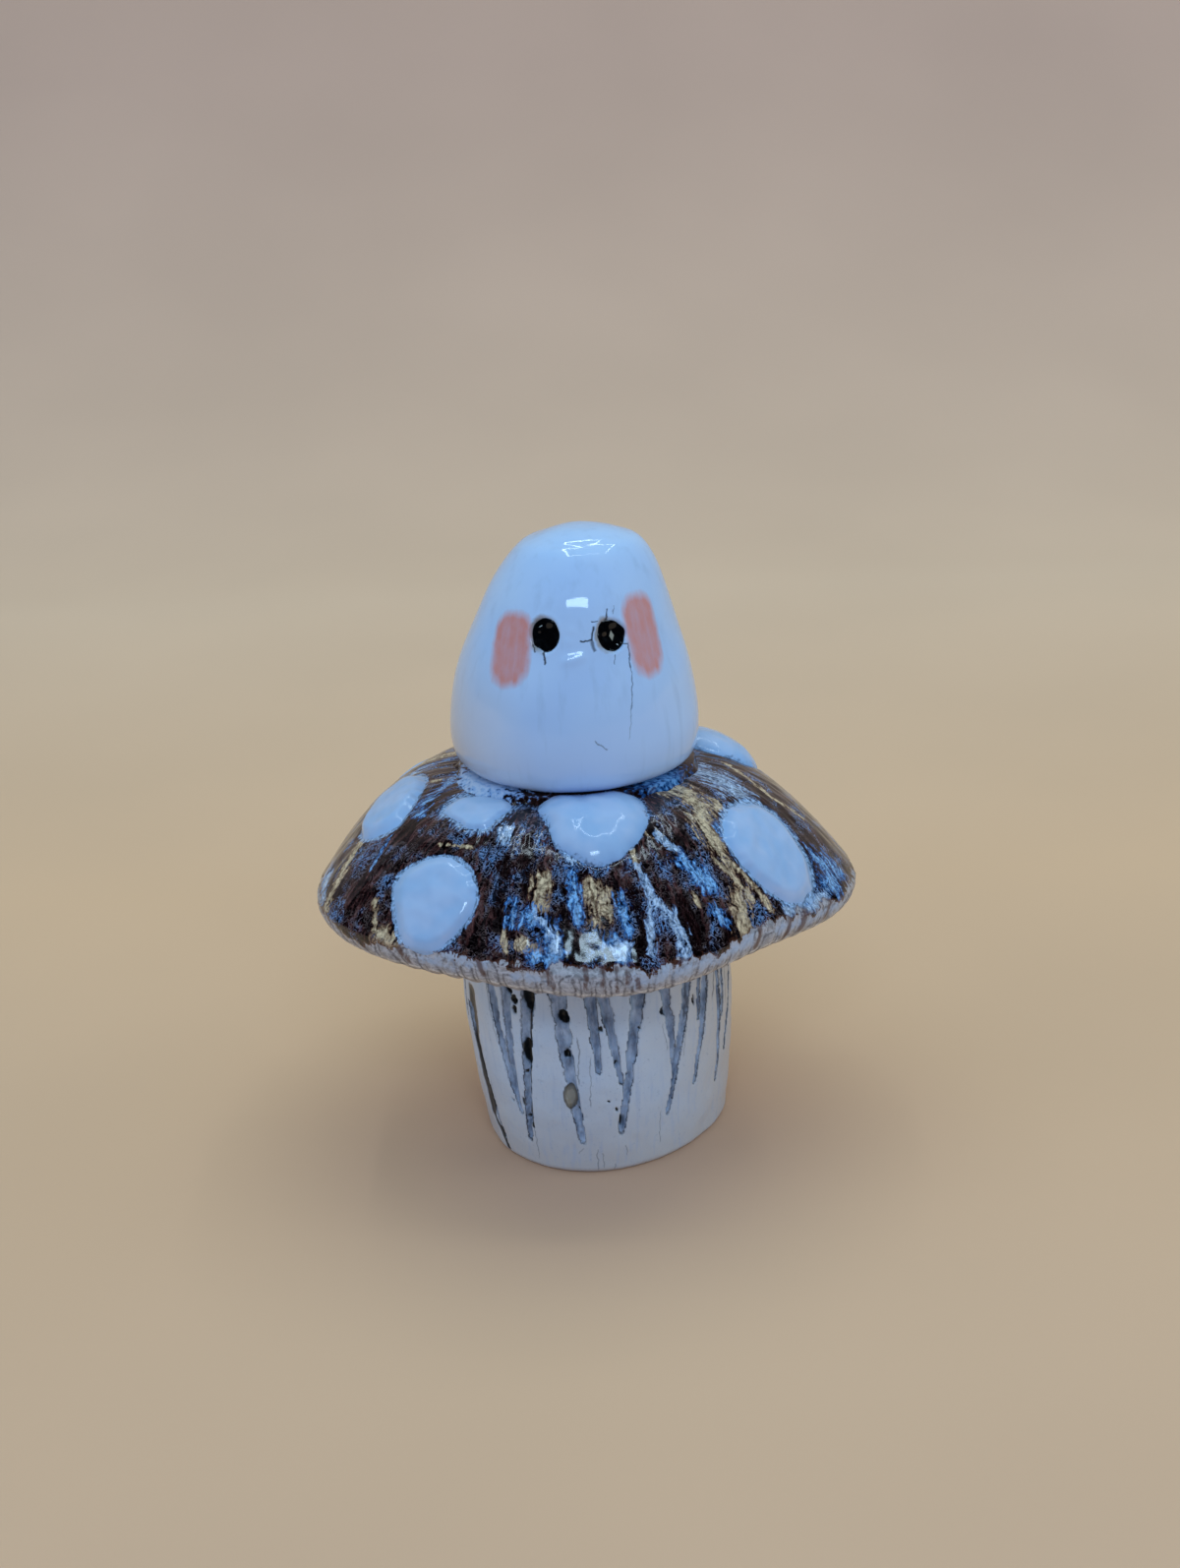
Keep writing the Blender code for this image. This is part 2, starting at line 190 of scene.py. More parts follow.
def make_paper():
    """The profile of the sheet, from its front edge to its top edge, drawn sideways."""
    profile = [(SHEET_FRONT, 0)]
    for sine, cosine in quarter_turn(BEND_POINTS):
        profile.append((BEND_START + BEND_RADIUS * sine, BEND_RADIUS * (1 - cosine)))
    profile.append((BEND_START + BEND_RADIUS, SHEET_TOP))
    shape = bmesh.new()
    corners = [shape.verts.new((-SHEET_WIDTH / 2, depth, height)) for depth, height in profile]
    edges = [shape.edges.new(pair) for pair in zip(corners, corners[1:])]
    drawn = bmesh.ops.extrude_edge_only(shape, edges=edges)
    moved = [part for part in drawn["geom"] if isinstance(part, bmesh.types.BMVert)]
    bmesh.ops.translate(shape, verts=moved, vec=(SHEET_WIDTH, 0, 0))
    mesh = to_mesh(shape, "paper_sheet")
    mesh.shade_smooth()
    return mesh


def paper_material():
    """Matt tan paper with painted light in a slow gradient: lightest where it starts to bend, greyer at the
    top as painted shade.
    """
    material, add = new_material("matt_paper_painted_light")
    place = add("TexCoord", out="Object")
    depth = add("SeparateXYZ", place, out=1)
    # The colour ramp along the sheet is painted light and shade
    share = add("MapRange", depth, GRADE_START, GRADE_END)
    painted_light = add("ValToRGB", share, stops=PAINTED_LIGHT_STOPS)
    clouds = add("TexNoise", Vector=place, Scale=1 / CLOUD_SIZE, Detail=2)
    cloudy = add("MapRange", clouds, 0.3, 0.7, 0.97, 1.03)
    tint = add("VectorMath SCALE", painted_light, Scale=cloudy)
    shader = add("BsdfPrincipled", tint, Roughness=0.95)
    add("OutputMaterial", Surface=shader, out=None)
    return material


paper = bpy.data.objects.new("paper_sheet", make_paper())
bpy.context.collection.objects.link(paper)
paper.data.materials.append(paper_material())
print("paper sheet has %d faces" % len(paper.data.polygons))

# %% A frame of strip lights overhead, a window in front, a soft fill, pale walls and a faint sky
FRAME_MIDDLE = (0.07, 0.16)
FRAME_HEIGHT = 0.62
FRAME_SIZE = (0.36, 0.38)
STRIP_WIDTH = 0.012
# Side of the frame on which each strip lies, to the right and to the back
STRIPS = {"strip_front": (0, -1), "strip_back": (0, 1), "strip_left": (-1, 0), "strip_right": (1, 0)}
# For each lamp: place, size, power and tint
LAMPS = {}
for strip_name, sides in STRIPS.items():
    strip_place = [middle + side * size / 2 for middle, side, size in zip(FRAME_MIDDLE, sides, FRAME_SIZE)]
    strip_size = [STRIP_WIDTH if side else size for side, size in zip(sides, FRAME_SIZE)]
    LAMPS[strip_name] = ((*strip_place, FRAME_HEIGHT), strip_size, 0.19, "DCF0FF")
LAMPS.update({
    "front_window": ((0.02, -0.60, 0.52), (0.34, 0.085), 1.15, "C8E8FF"),
    "soft_fill": ((0.0, 0.30, 0.95), (1.35, 1.20), 4.92, "D6FFD4"),
    "left_wall": ((-0.75, -0.10, 0.22), (0.50, 0.44), 0.75, "F0FFF0"),
    "right_wall": ((0.75, -0.10, 0.22), (0.50, 0.44), 1.05, "F0FFEC"),
})
LIT_PLACE = Vector((0, 0, 0.06))
SKY_TINT, SKY_STRENGTH = "B3D8FF", 0.70


def add_lamp(name, place, size, power, tint):
    """A rectangular lamp. A strip faces straight down and the others face the piece."""
    data = bpy.data.lights.new(name, "AREA")
    data.shape = "RECTANGLE"
    data.size, data.size_y = size
    data.energy = power
    data.color = colour(tint)[:3]
    lamp = bpy.data.objects.new(name, data)
    direction = Vector((0, 0, -1)) if name in STRIPS else LIT_PLACE - Vector(place)
    lamp.matrix_world = Matrix.Translation(place) @ direction.to_track_quat("-Z", "Y").to_matrix().to_4x4()
    bpy.context.collection.objects.link(lamp)
    # The fill and the walls stand for a whole pale room, so they should not mirror as bright squares
    lamp.visible_glossy = name in STRIPS or name == "front_window"


for lamp_name, lamp_sizes in LAMPS.items():
    add_lamp(lamp_name, *lamp_sizes)

sky = bpy.data.worlds.new("pale_room")
sky.use_nodes = True
sky_shader = sky.node_tree.nodes["Background"]
sky_shader.inputs["Color"].default_value = colour(SKY_TINT)
sky_shader.inputs["Strength"].default_value = SKY_STRENGTH
bpy.context.scene.world = sky
# The room behind the camera is dim, so the sky lights the clay but wet glaze doesn't mirror it
sky.cycles_visibility.glossy = False
bpy.context.scene.view_settings.view_transform = "Standard"
print("%d lamps" % len(LAMPS))

# %% [markdown]
# ## Turning, pressing and painting
#
# Every piece here is close to round, so each starts as a half outline that Spin turns about the
# upright axis, as a wheel would. A hand then presses it out of true: one rule moves all the
# vertices at once, with numpy. What a brush or a tool left is stored on the vertices as named
# numbers, which the materials read, so paint follows the surface from every side.

# %% Turning a half outline
WELD = 1e-7
SLICES = 12


def turned(name, outline, steps):
    """A closed mesh of revolution, with its vertices' places, radius and bearing.

    Each vertex keeps its distance along the outline as "run". One slice of the turn is spun fine,
    then spun on as copies: a single fine spin is far slower.
    """
    shape = bmesh.new()
    run_layer = shape.verts.layers.float.new("run")
    corners = []
    run = 0
    for number, (radius, height) in enumerate(outline):
        if number:
            run += math.dist((radius, height), outline[number - 1])
        corner = shape.verts.new((radius, 0, height))
        corner[run_layer] = run
        corners.append(corner)
    edges = [shape.edges.new(pair) for pair in zip(corners, corners[1:])]
    spin = functools.partial(bmesh.ops.spin, shape, cent=(0, 0, 0), axis=(0, 0, 1))
    slice_angle = math.tau / SLICES
    spin(geom=corners + edges, angle=slice_angle, steps=steps // SLICES)
    one_slice = shape.verts[:] + shape.edges[:] + shape.faces[:]
    spin(geom=one_slice, angle=math.tau - slice_angle, steps=SLICES - 1, use_duplicate=True)
    bmesh.ops.remove_doubles(shape, verts=shape.verts, dist=WELD)
    mesh = to_mesh(shape, name)
    places = vertex_values(mesh)
    return mesh, places, *polar(places)


# %% Reading, pressing and painting all vertices at once
CROSSING_WAVES = 28
# Turns a size of bump into the waves that make it
WAVE_RATE = 2.4


def vertex_values(mesh, attribute="co", width=3):
    """One row for each vertex: its place, its normal, or another attribute of the mesh."""
    values = np.empty(len(mesh.vertices) * width, dtype=np.float32)
    if attribute == "co":
        mesh.vertices.foreach_get("co", values)
    elif attribute == "normal":
        mesh.vertex_normals.foreach_get("vector", values)
    else:
        mesh.attributes[attribute].data.foreach_get("value", values)
    return values.reshape(-1, width).astype(float) if width > 1 else values.astype(float)


def move_vertices(mesh, places):
    """Puts every vertex at its new place."""
    mesh.vertices.foreach_set("co", places.astype(np.float32).ravel())
    mesh.update()


def paint(mesh, **layers):
    """Stores numbers or vectors on the vertices, each set under its name, for a material to read."""
    for name, values in layers.items():
        flat = values.ndim == 1
        layer = mesh.attributes.new(name, "FLOAT" if flat else "FLOAT_VECTOR", "POINT")
        layer.data.foreach_set("value" if flat else "vector", values.astype(np.float32).ravel())


def polar(places):
    """Distance from the upright axis, and bearing in degrees, of each place."""
    return np.hypot(places[:, 0], places[:, 1]), np.degrees(np.arctan2(places[:, 1], places[:, 0]))


def at_polar(radius, bearing, height):
    """Places at a distance from the upright axis, a bearing and a height."""
    angle = np.radians(bearing)
    return np.stack([radius * np.cos(angle), radius * np.sin(angle), height + 0 * angle], axis=-1)


def wave_sum(waves, bearing):
    """Sum of waves, each (count round, size, bearing of a crest), at a bearing."""
    return sum(size * np.cos(count * np.radians(bearing - crest)) for count, size, crest in waves)


def swell(places, size, seed):
    """Smooth random numbers, mostly within -1 and 1, with bumps about as wide as a size."""
    draw = np.random.default_rng(seed)
    directions = draw.normal(size=(3, CROSSING_WAVES)) * WAVE_RATE / size
    phases = draw.uniform(0, math.tau, CROSSING_WAVES)
    return np.sin(places @ directions + phases).sum(axis=1) / math.sqrt(CROSSING_WAVES)


def bumps(places, *kinds):
    """Sum of swells, each (height, size, seed)."""
    return sum(height * swell(places, size, seed) for height, size, seed in kinds)


def smooth_step(low, high, values):
    """0 below low, 1 above high and a soft S between."""
    share = np.clip((values - low) / (high - low), 0, 1)
    return share * share * (3 - 2 * share)


def turn_between(bearing, middle):
    """Signed turn in degrees from a middle bearing, the short way round."""
    return (bearing - middle + 180) % 360 - 180


def line_gap(offset, line):
    """Distance of flat places from a line, both measured from the line's start."""
    along = np.clip(offset @ line / (line @ line), 0, 1)
    return np.linalg.norm(offset - along[:, None] * line, axis=1)


def smooth_curve(knots, steps, closed=False):
    """Points on a curve through the knots, with so many steps to each span."""
    knots = list(knots)
    padded = [knots[-1]] + knots + knots[:2] if closed else [knots[0]] + knots + [knots[-1]]
    points = []
    for span in zip(padded, padded[1:], padded[2:], padded[3:]):
        for t in np.arange(steps) / steps:
            points.append(tuple(
                0.5 * (2 * b + (c - a) * t + (2 * a - 5 * b + 4 * c - d) * t ** 2
                       + (3 * b - a - 3 * c + d) * t ** 3) for a, b, c, d in zip(*span)))
    return points if closed else points + [tuple(knots[-1])]


def outline_radius(knots, angle):
    """Radius of a closed outline round the origin at each angle, in the units of its knots."""
    loop = np.array(smooth_curve(knots, 12, closed=True))
    loop_radius, loop_angle = polar(loop)
    order = np.argsort(loop_angle)
    return np.interp(angle, loop_angle[order], loop_radius[order], period=360)


def line_layers(add, place, lines, spot, tone):
    """A layer for each thin line: bearing and height share of both ends, width in mm, darkness.

    A spot gives a place on the clay first and its outward direction last. The Mapping node turns a
    place to the line's own measure: eighths of its length, widths, and tens of widths outward.
    """
    layers = []
    for bearing, share, end_bearing, end_share, width, darkness in lines:
        start, end = spot(bearing, share)[0], spot(end_bearing, end_share)[0]
        outward = spot((bearing + end_bearing) / 2, (share + end_share) / 2)[-1]
        along = Vector(end - start)
        across = Vector(outward).cross(along).normalized()
        turn = Matrix((along.normalized(), across, along.normalized().cross(across))).transposed().to_euler()
        own = add("Mapping", place, (start + end) / 2, turn,
                  (along.length / 8, width * MM, 10 * width * MM), vector_type="TEXTURE")
        size = add("VectorMath ABSOLUTE", own)
        beyond = add("VectorMath SUBTRACT", size, (3.5, 0, 0))
        outside = add("VectorMath MAXIMUM", beyond, (0, 0, 0))
        gap = add("VectorMath LENGTH", outside, out=1)
        layers.append((gap, 1.0, 0.3, darkness, tone))
    return layers


def finish_piece(name, mesh, material, node):
    """Makes a mesh a piece of the object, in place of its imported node."""
    mesh.shade_smooth()
    mesh.materials.append(material)
    piece = bpy.data.objects.new(name, mesh)
    bpy.context.collection.objects.link(piece)
    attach(piece, "root")
    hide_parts(node)
    triangles = sum(len(face.vertices) - 2 for face in mesh.polygons)
    print("%s stands for %s with %d triangles" % (name, node, triangles))


# %% [markdown]
# ## The stem
#
# The stem is a stout barrel of white clay, leaned a little and cut with a loop tool from the neck
# down. The grooves were washed with a blue-grey stain that stayed in them. The outline is turned
# fine enough for a groove two millimetres wide to have a round floor and a ragged edge, and the
# same rule that cuts a groove also paints the stain in it.

# %% Sizes of the stem
STEM_HEIGHT = 31 * MM
STEM_FOOT_RADIUS = 15.2 * MM
STEM_BELLY_RADIUS = 16.9 * MM
STEM_NECK_RADIUS = 16.3 * MM
BELLY_HEIGHT = 0.62 * STEM_HEIGHT
STEM_EDGE = 1.1 * MM
STEM_LEAN = -1.1 * MM
# Waves that press the barrel out of round: count round, share of the radius, bearing of a crest
STEM_SWELL = ((2, 0.026, 59), (3, 0.030, 11))
STEM_STEPS, STEM_RINGS, EDGE_POINTS = 480, 140, 8
STROKE_DEPTH, PIT_DEPTH, CUT_DEPTH = 0.7 * MM, 0.7 * MM, 0.2 * MM
BUBBLE_HEIGHT = 0.35 * MM
# Bumps, each with a height, a size and a seed: those that a hand left on the barrel, the grit in
# the floor of a groove, and the rags of its edge, as shares of one
STEM_BUMPS = ((0.06 * MM, 4 * MM, 4), (0.02 * MM, 1.1 * MM, 5))
FLOOR_GRIT = (0.07 * MM, 0.5 * MM, 3)
STROKE_RAGS = ((1, 1.6 * MM, 1), (0.6, 0.6 * MM, 2))

# Carved strokes: bearing and height share at the top, the same at the tip, and width in mm
FRONT_STROKES = (
    (-156, 0.62, -139, 0.02, 1.5), (-138, 1, -125, 0.24, 2), (-126, 1, -126, 0.27, 1.9),
    (-113, 1, -123, 0.12, 2.1), (-105, 1, -99, 0.14, 2.6), (-92, 1, -90, 0.46, 2.2), (-89, 1, -81, 0.4, 2),
    (-67, 1, -83, 0.17, 2.5), (-60, 1, -55, 0.36, 2.4), (-39, 1, -60, 0.2, 2.2), (-27, 1, -43, 0.28, 2.1),
    (-21, 1, -25, 0.22, 1.8), (4, 1, -18, 0.33, 1.9), (-34, 1, -40, 0.56, 1.4), (-13, 1, -21, 0.5, 1.6),
)
# Strokes carried on round the back: how many, their width in mm, and the first and last bearing
BACK_STROKE_COUNT, BACK_STROKE_WIDTH = 12, 2.2
BACK_STROKE_START, BACK_STROKE_END = 19, 196
# Pits where the tool tore the clay: bearing, height share, width and height in mm, and how black
PITS = (
    (-125, 0.79, 1.3, 1.7, 1), (-122, 0.76, 0.9, 1.3, 1), (-122, 0.72, 0.7, 1.1, 0.9),
    (-116, 0.78, 1.3, 4.2, 1), (-118, 0.54, 1.25, 4, 1), (-102, 0.71, 1.5, 1.9, 1),
    (-102, 0.55, 0.9, 1.1, 0.9), (-60, 0.67, 1, 1.1, 0.6), (-123, 0.31, 0.4, 1.4, 0.5),
    (-82.5, 0.24, 0.5, 2.2, 0.45), (-129, 0.3, 0.45, 0.45, 0.6), (-113, 0.43, 0.25, 0.25, 0.6),
    (-87, 0.34, 0.2, 0.25, 0.6), (-72, 0.63, 0.25, 0.25, 0.6), (-83, 0.5, 0.4, 0.5, 0.6),
    (-79, 0.44, 0.3, 0.3, 0.6), (-88, 0.66, 0.5, 0.9, 0.5), (-57, 0.5, 0.3, 0.4, 0.6),
    (-99, 0.31, 0.3, 0.6, 0.6), (-84, 0.3, 0.35, 0.5, 0.6), (-122, 0.24, 0.35, 0.5, 0.6),
    (-120, 0.45, 0.3, 0.4, 0.6), (-42, 0.66, 0.5, 1.6, 0.7), (-24, 0.72, 0.4, 1.2, 0.6),
)
OCHRE_BUBBLES = ((-102, 0.37, 1.6, 3.7, 1),)
# Dark cuts: bearing and height share of both ends, width in mm
DARK_CUTS = (
    (-152, 0.69, -151, 0.46, 2.4), (-151, 0.46, -148, 0.17, 1.8), (-148, 0.17, -140, 0.03, 0.9),
    (-115, 0.8, -116, 0.58, 0.3), (-116, 0.58, -119, 0.36, 0.25), (-119, 0.36, -120, 0.2, 0.12),
)
# Hair lines drawn by a corner of the tool: the same, and their darkness
HAIR_LINES = (
    (-119, 0.36, -120, 0.06, 0.1, 0.55), (-138, 0.8, -133, 0.55, 0.12, 0.5),
    (-97, 0.63, -98, 0.43, 0.11, 0.55), (-93, 0.54, -94, 0.33, 0.1, 0.45), (-93, 0.12, -94, 0.02, 0.1, 0.5),
    (-91, 0.1, -91, 0.03, 0.1, 0.4), (-81, 0.12, -80, 0.07, 0.1, 0.45), (-63, 0.23, -64, 0.09, 0.1, 0.5),
    (-143, 0.35, -146, 0.2, 0.1, 0.4), (-99, 0.13, -101, 0.1, 0.1, 0.35), (-104, 0.9, -103, 0.6, 0.1, 0.4),
    (-61, 0.62, -59, 0.5, 0.1, 0.4), (-72, 0.95, -74, 0.7, 0.1, 0.3), (-38, 0.95, -48, 0.6, 0.18, 0.7),
    (-29, 0.95, -36, 0.58, 0.16, 0.6), (-18, 0.95, -29, 0.62, 0.18, 0.7), (-9, 0.95, -16, 0.55, 0.16, 0.6),
    (-47, 0.6, -50, 0.44, 0.1, 0.4), (-86, 0.04, -87, 0.01, 0.1, 0.5),
)
print("%d strokes cut by hand, %d carried on round the back" % (len(FRONT_STROKES), BACK_STROKE_COUNT))


# %% The barrel and its carving
def stem_radius(height):
    """Radius of the plain barrel: it swells to the belly, then draws in to the neck."""
    rise = np.sin(np.pi / 2 * np.clip(height / BELLY_HEIGHT, 0, 1))
    fall = 1 - np.cos(np.pi / 2 * np.clip((height - BELLY_HEIGHT) / (STEM_HEIGHT - BELLY_HEIGHT), 0, 1))
    return (STEM_FOOT_RADIUS + (STEM_BELLY_RADIUS - STEM_FOOT_RADIUS) * rise
            + (STEM_NECK_RADIUS - STEM_BELLY_RADIUS) * fall)


def stem_outline():
    """Half section of the barrel with a rounded edge at the top and the foot."""
    low, high = STEM_EDGE, STEM_HEIGHT - STEM_EDGE
    edge = quarter_turn(EDGE_POINTS)
    outline = [(0, STEM_HEIGHT), (0.5 * STEM_NECK_RADIUS, STEM_HEIGHT)]
    top, foot = stem_radius(high) - STEM_EDGE, stem_radius(low) - STEM_EDGE
    outline += [(top + STEM_EDGE * sine, high + STEM_EDGE * cosine) for sine, cosine in edge[:-1]]
    outline += [(stem_radius(height), height) for height in np.linspace(high, low, STEM_RINGS + 1)]
    outline += [(foot + STEM_EDGE * cosine, low - STEM_EDGE * sine) for sine, cosine in edge[1:]]
    return outline + [(0.5 * STEM_FOOT_RADIUS, 0), (0, 0)]


def all_strokes():
    """The strokes seen from the front, and the same rhythm carried on round the back."""
    strokes = list(FRONT_STROKES)
    pitch = (BACK_STROKE_END - BACK_STROKE_START) / (BACK_STROKE_COUNT - 1)
    for number in range(BACK_STROKE_COUNT):
        top = BACK_STROKE_START + pitch * number
        tip = top + pitch * 0.35 * math.cos(2.4 * number)
        strokes.append((top, 1, tip, 0.34 + 0.20 * math.sin(1.9 * number), BACK_STROKE_WIDTH))
    return strokes


def around(bearing, middle):
    """Distance round the stem from a middle bearing, in metres."""
    return np.radians(turn_between(bearing, middle)) * STEM_BELLY_RADIUS


def grooves(bearing, share, ragged):
    """How far each place lies inside a stroke: 1 on its middle line, 0 at its edge and outside."""
    inside = 0
    for top, top_share, tip, tip_share, width in all_strokes():
        along = (top_share - share) / (top_share - tip_share)
        half = width * MM / 2 * (1 - 0.7 * np.clip(along, 0, 1)) * (0.88 + 0.15 * ragged)
        across = around(bearing, top + (tip - top) * along) / half
        ends = smooth_step(0, 0.03, along + 0.02) * smooth_step(0, 0.06, 1 - along)
        inside = np.maximum(inside, np.clip(1 - across ** 2, 0, 1) * ends)
    return inside


def cuts(bearing, share):
    """How far each place lies inside a dark cut: 1 on its line, 0 at its edge and outside."""
    inside = 0
    for start, start_share, end, end_share, width in DARK_CUTS:
        line = np.array([around(end, start), (end_share - start_share) * STEM_HEIGHT])
        offset = np.column_stack([around(bearing, start), (share - start_share) * STEM_HEIGHT])
        inside = np.maximum(inside, 1 - line_gap(offset, line) / (width / 2 + 0.08) / MM)
    return inside


def dabs(bearing, share, marks):
    """How far each place lies inside an oval mark: its strength in the middle, 0 at its edge and outside."""
    inside = 0
    for middle, height, width, tall, strength in marks:
        across = around(bearing, middle) / (width * MM / 2)
        along = (share - height) * STEM_HEIGHT / (tall * MM / 2)
        inside = np.maximum(inside, (1 - across ** 2 - along ** 2) * strength)
    return inside


def stem_spot(bearing, share):
    """A place on the plain barrel, at a bearing and a share of its height, and its outward direction."""
    height = share * STEM_HEIGHT
    place = at_polar(stem_radius(height) * (1 + wave_sum(STEM_SWELL, bearing)), bearing, height)
    place[0] += STEM_LEAN * share
    return place, at_polar(1, bearing, 0)


def make_stem_mesh():
    """Turns, carves and stains the stem."""
    mesh, places, radius, bearing = turned("carved_stem", stem_outline(), STEM_STEPS)
    share = places[:, 2] / STEM_HEIGHT
    side = smooth_step(STEM_EDGE * 1.2, STEM_EDGE * 0.4, stem_radius(places[:, 2]) - radius)
    ragged = bumps(places, *STROKE_RAGS)
    stain = grooves(bearing, share, ragged) * side
    pit, ochre = (dabs(bearing, share, marks) * side for marks in (PITS, OCHRE_BUBBLES))
    dark = cuts(bearing, share)
    dark = np.where(dark > 0, np.clip(dark + 0.10 * ragged, 0, 1), 0) * side
    carved = stain ** 0.7 * (STROKE_DEPTH + bumps(places, FLOOR_GRIT))
    carved += PIT_DEPTH * np.sqrt(pit) + CUT_DEPTH * dark - BUBBLE_HEIGHT * ochre
    hand = side * bumps(places, *STEM_BUMPS)
    pressed = at_polar(radius * (1 + wave_sum(STEM_SWELL, bearing)) - carved + hand, bearing, places[:, 2])
    pressed[:, 0] += STEM_LEAN * share
    move_vertices(mesh, pressed)
    paint(mesh, stain=stain, pit=pit, dark=dark, ochre=ochre)
    return mesh


stem_mesh = make_stem_mesh()
print("stem mesh has %d vertices" % len(stem_mesh.vertices))

# %% [markdown]
# ### White clay with a blue-grey wash
#
# The finish is porcelain-white stoneware under a thin satin glaze. Bare of thick glaze it is
# only half smooth, so it takes a broad, weak sheen. The wash settled in the cuts, darkest where
# they are deepest, with a dark line at the cut edge and near-black glaze in the torn pits.

# %% The stem's finish
def stem_material():
    """Satin white stoneware with stained grooves, dark cuts, torn pits and an ochre bubble."""
    material, add = new_material("satin_white_stoneware")
    place = add("TexCoord", out="Object")
    clouds = add("TexNoise", Vector=place, Scale=1 / (5 * MM), Detail=3)
    stretched = add("Mapping", Vector=place, Scale=(1, 1, 0.12))
    combed = add("TexNoise", Vector=stretched, Scale=1 / (0.7 * MM), Detail=3)
    grit = add("TexNoise", Vector=place, Scale=1 / (0.35 * MM), Detail=2)
    # Painted warm bounce light from the tan paper: the foot and the right side are tinted warmer
    rightward, _, height = add("SeparateXYZ", place, out=None)
    low = add("MapRange", height, 14 * MM, 0, 0, 0.80)
    aside = add("MapRange", rightward, 3 * MM, 15 * MM, 0, 0.75)
    warm_bounce = add("Math MAXIMUM", low, aside)
    stain, pit, dark, ochre = (add("Attribute", out="Fac", attribute_name=name)
                               for name in ("stain", "pit", "dark", "ochre"))
    washed, gritty_ochre = (add("Math MULTIPLY_ADD", grit, 0.5, mark) for mark in (stain, ochre))
    # The wash dried in soft blots of two millimetres, strung along the stroke
    strung = add("Mapping", Vector=place, Scale=(1, 1, 0.4))
    blots = add("TexNoise", Vector=strung, Scale=1 / (1.1 * MM), Detail=4, Roughness=0.6)
    wash = add("ValToRGB", blots, stops={0.3: "485670", 0.42: "7686A2", 0.54: "98A8C4", 0.68: "B2C0DA"})
    # It dries darkest along the sharp edge of each cut, in a broken line
    line = add("ValToRGB", washed, stops={0.24: "000000", 0.31: "FFFFFF", 0.39: "FFFFFF", 0.5: "000000"})
    patchy = add("MapRange", blots, 0.62, 0.42, 0.50)
    near_cut = add("MapRange", stain, 0, 0.06, 0, patchy)
    tones = {0.28: "302E2A", 0.54: "565046", 0.86: "746C5E", 1.06: "90887A"}
    bubble = add("ValToRGB", gritty_ochre, stops=tones)
    pit_share = add("MapRange", pit, 0.04, 0.20)
    dark_share = add("MapRange", dark, 0.08, 0.34, 0, 0.95)
    black = add("Math MAXIMUM", pit_share, dark_share)
    wobbly, _ = shaken(add, place, 1.2 * MM, 0.8 * MM)
    # The warm layer is painted bounce light on the foot and the right side
    base = layered(add, "B2C2DE", [
        (clouds, 0, 1, 1, "C9CCD8"), (warm_bounce, 0, 1, 1, "BEB4B0"), (combed, 0.55, 0.72, 0.30, "93A6CC"),
        (washed, 0.30, 0.50, 0.92, wash), (line, 0, 1, near_cut, "303A4C"), (ochre, 0.03, 0.15, 0.9, bubble),
        (black, 0, 1, 1, "14171C"), *line_layers(add, wobbly, HAIR_LINES, stem_spot, "3A414E")])
    end_material(add, base, 0.34, (grit, 0.2, 0.04 * MM))
    return material


finish_piece("carved_stem", stem_mesh, stem_material(), "stem")

# %% [markdown]
# ## The cap
#
# The cap is a pinched dome that steepens to its widest line, with a bare rim rolled under it and
# gills pressed beneath. What makes it is the glaze: a dark brown that ran down the slope and
# broke to tan where it is thin and to a milky blue where a second glaze pooled. The runs follow
# the slope, so the dome is treated as a map: distance down the slope from the seat, and bearing.
# Every dab of glaze is a short brush stroke on that map.

# %% Sizes of the cap
CLAY_GAP = 0.3 * MM
SLIP_THICKNESS = 0.6 * MM
CAP_RADIUS = 31.1 * MM
CAP_SEAT_RADIUS = 12 * MM
CAP_CROWN_HEIGHT = 15 * MM
CAP_SHIFT = -2.1 * MM
DOME_POWER = 2.4
RIM_BAND, RIM_ROLL, RIM_DROP = 4.2 * MM, 4.4 * MM, 2.6 * MM
GILL_COUNT, GILL_START, GILL_DEPTH = 72, 18 * MM, 0.6 * MM
# Waves in the rim's radius, as on the stem, and in its height, with their size in metres
CAP_SWELL = ((2, 0.0275, 10), (3, 0.014, -15), (4, 0.012, -4), (5, 0.036, -2))
CAP_LIFT = ((1, 0.0010, -126), (2, 0.0007, 58), (3, 0.00065, -33), (4, 0.0004, 29), (5, 0.0003, 31))
CAP_UNDERSIDE = STEM_HEIGHT + 2 * CLAY_GAP + SLIP_THICKNESS
CAP_SEAT = CAP_UNDERSIDE + CAP_CROWN_HEIGHT
RIM_EDGE = CAP_UNDERSIDE - RIM_DROP
CAP_WIDEST = RIM_EDGE + RIM_BAND
CAP_STEPS, DOME_RINGS, RIM_RINGS, UNDER_RINGS = 540, 108, 28, 22
GLAZE_THICKNESS, RIDGE_HEIGHT = 0.16 * MM, 0.035 * MM
LOOP_HEIGHT, PAD_DENT = 0.13 * MM, 0.10 * MM
MAP_STEP = 0.05 * MM


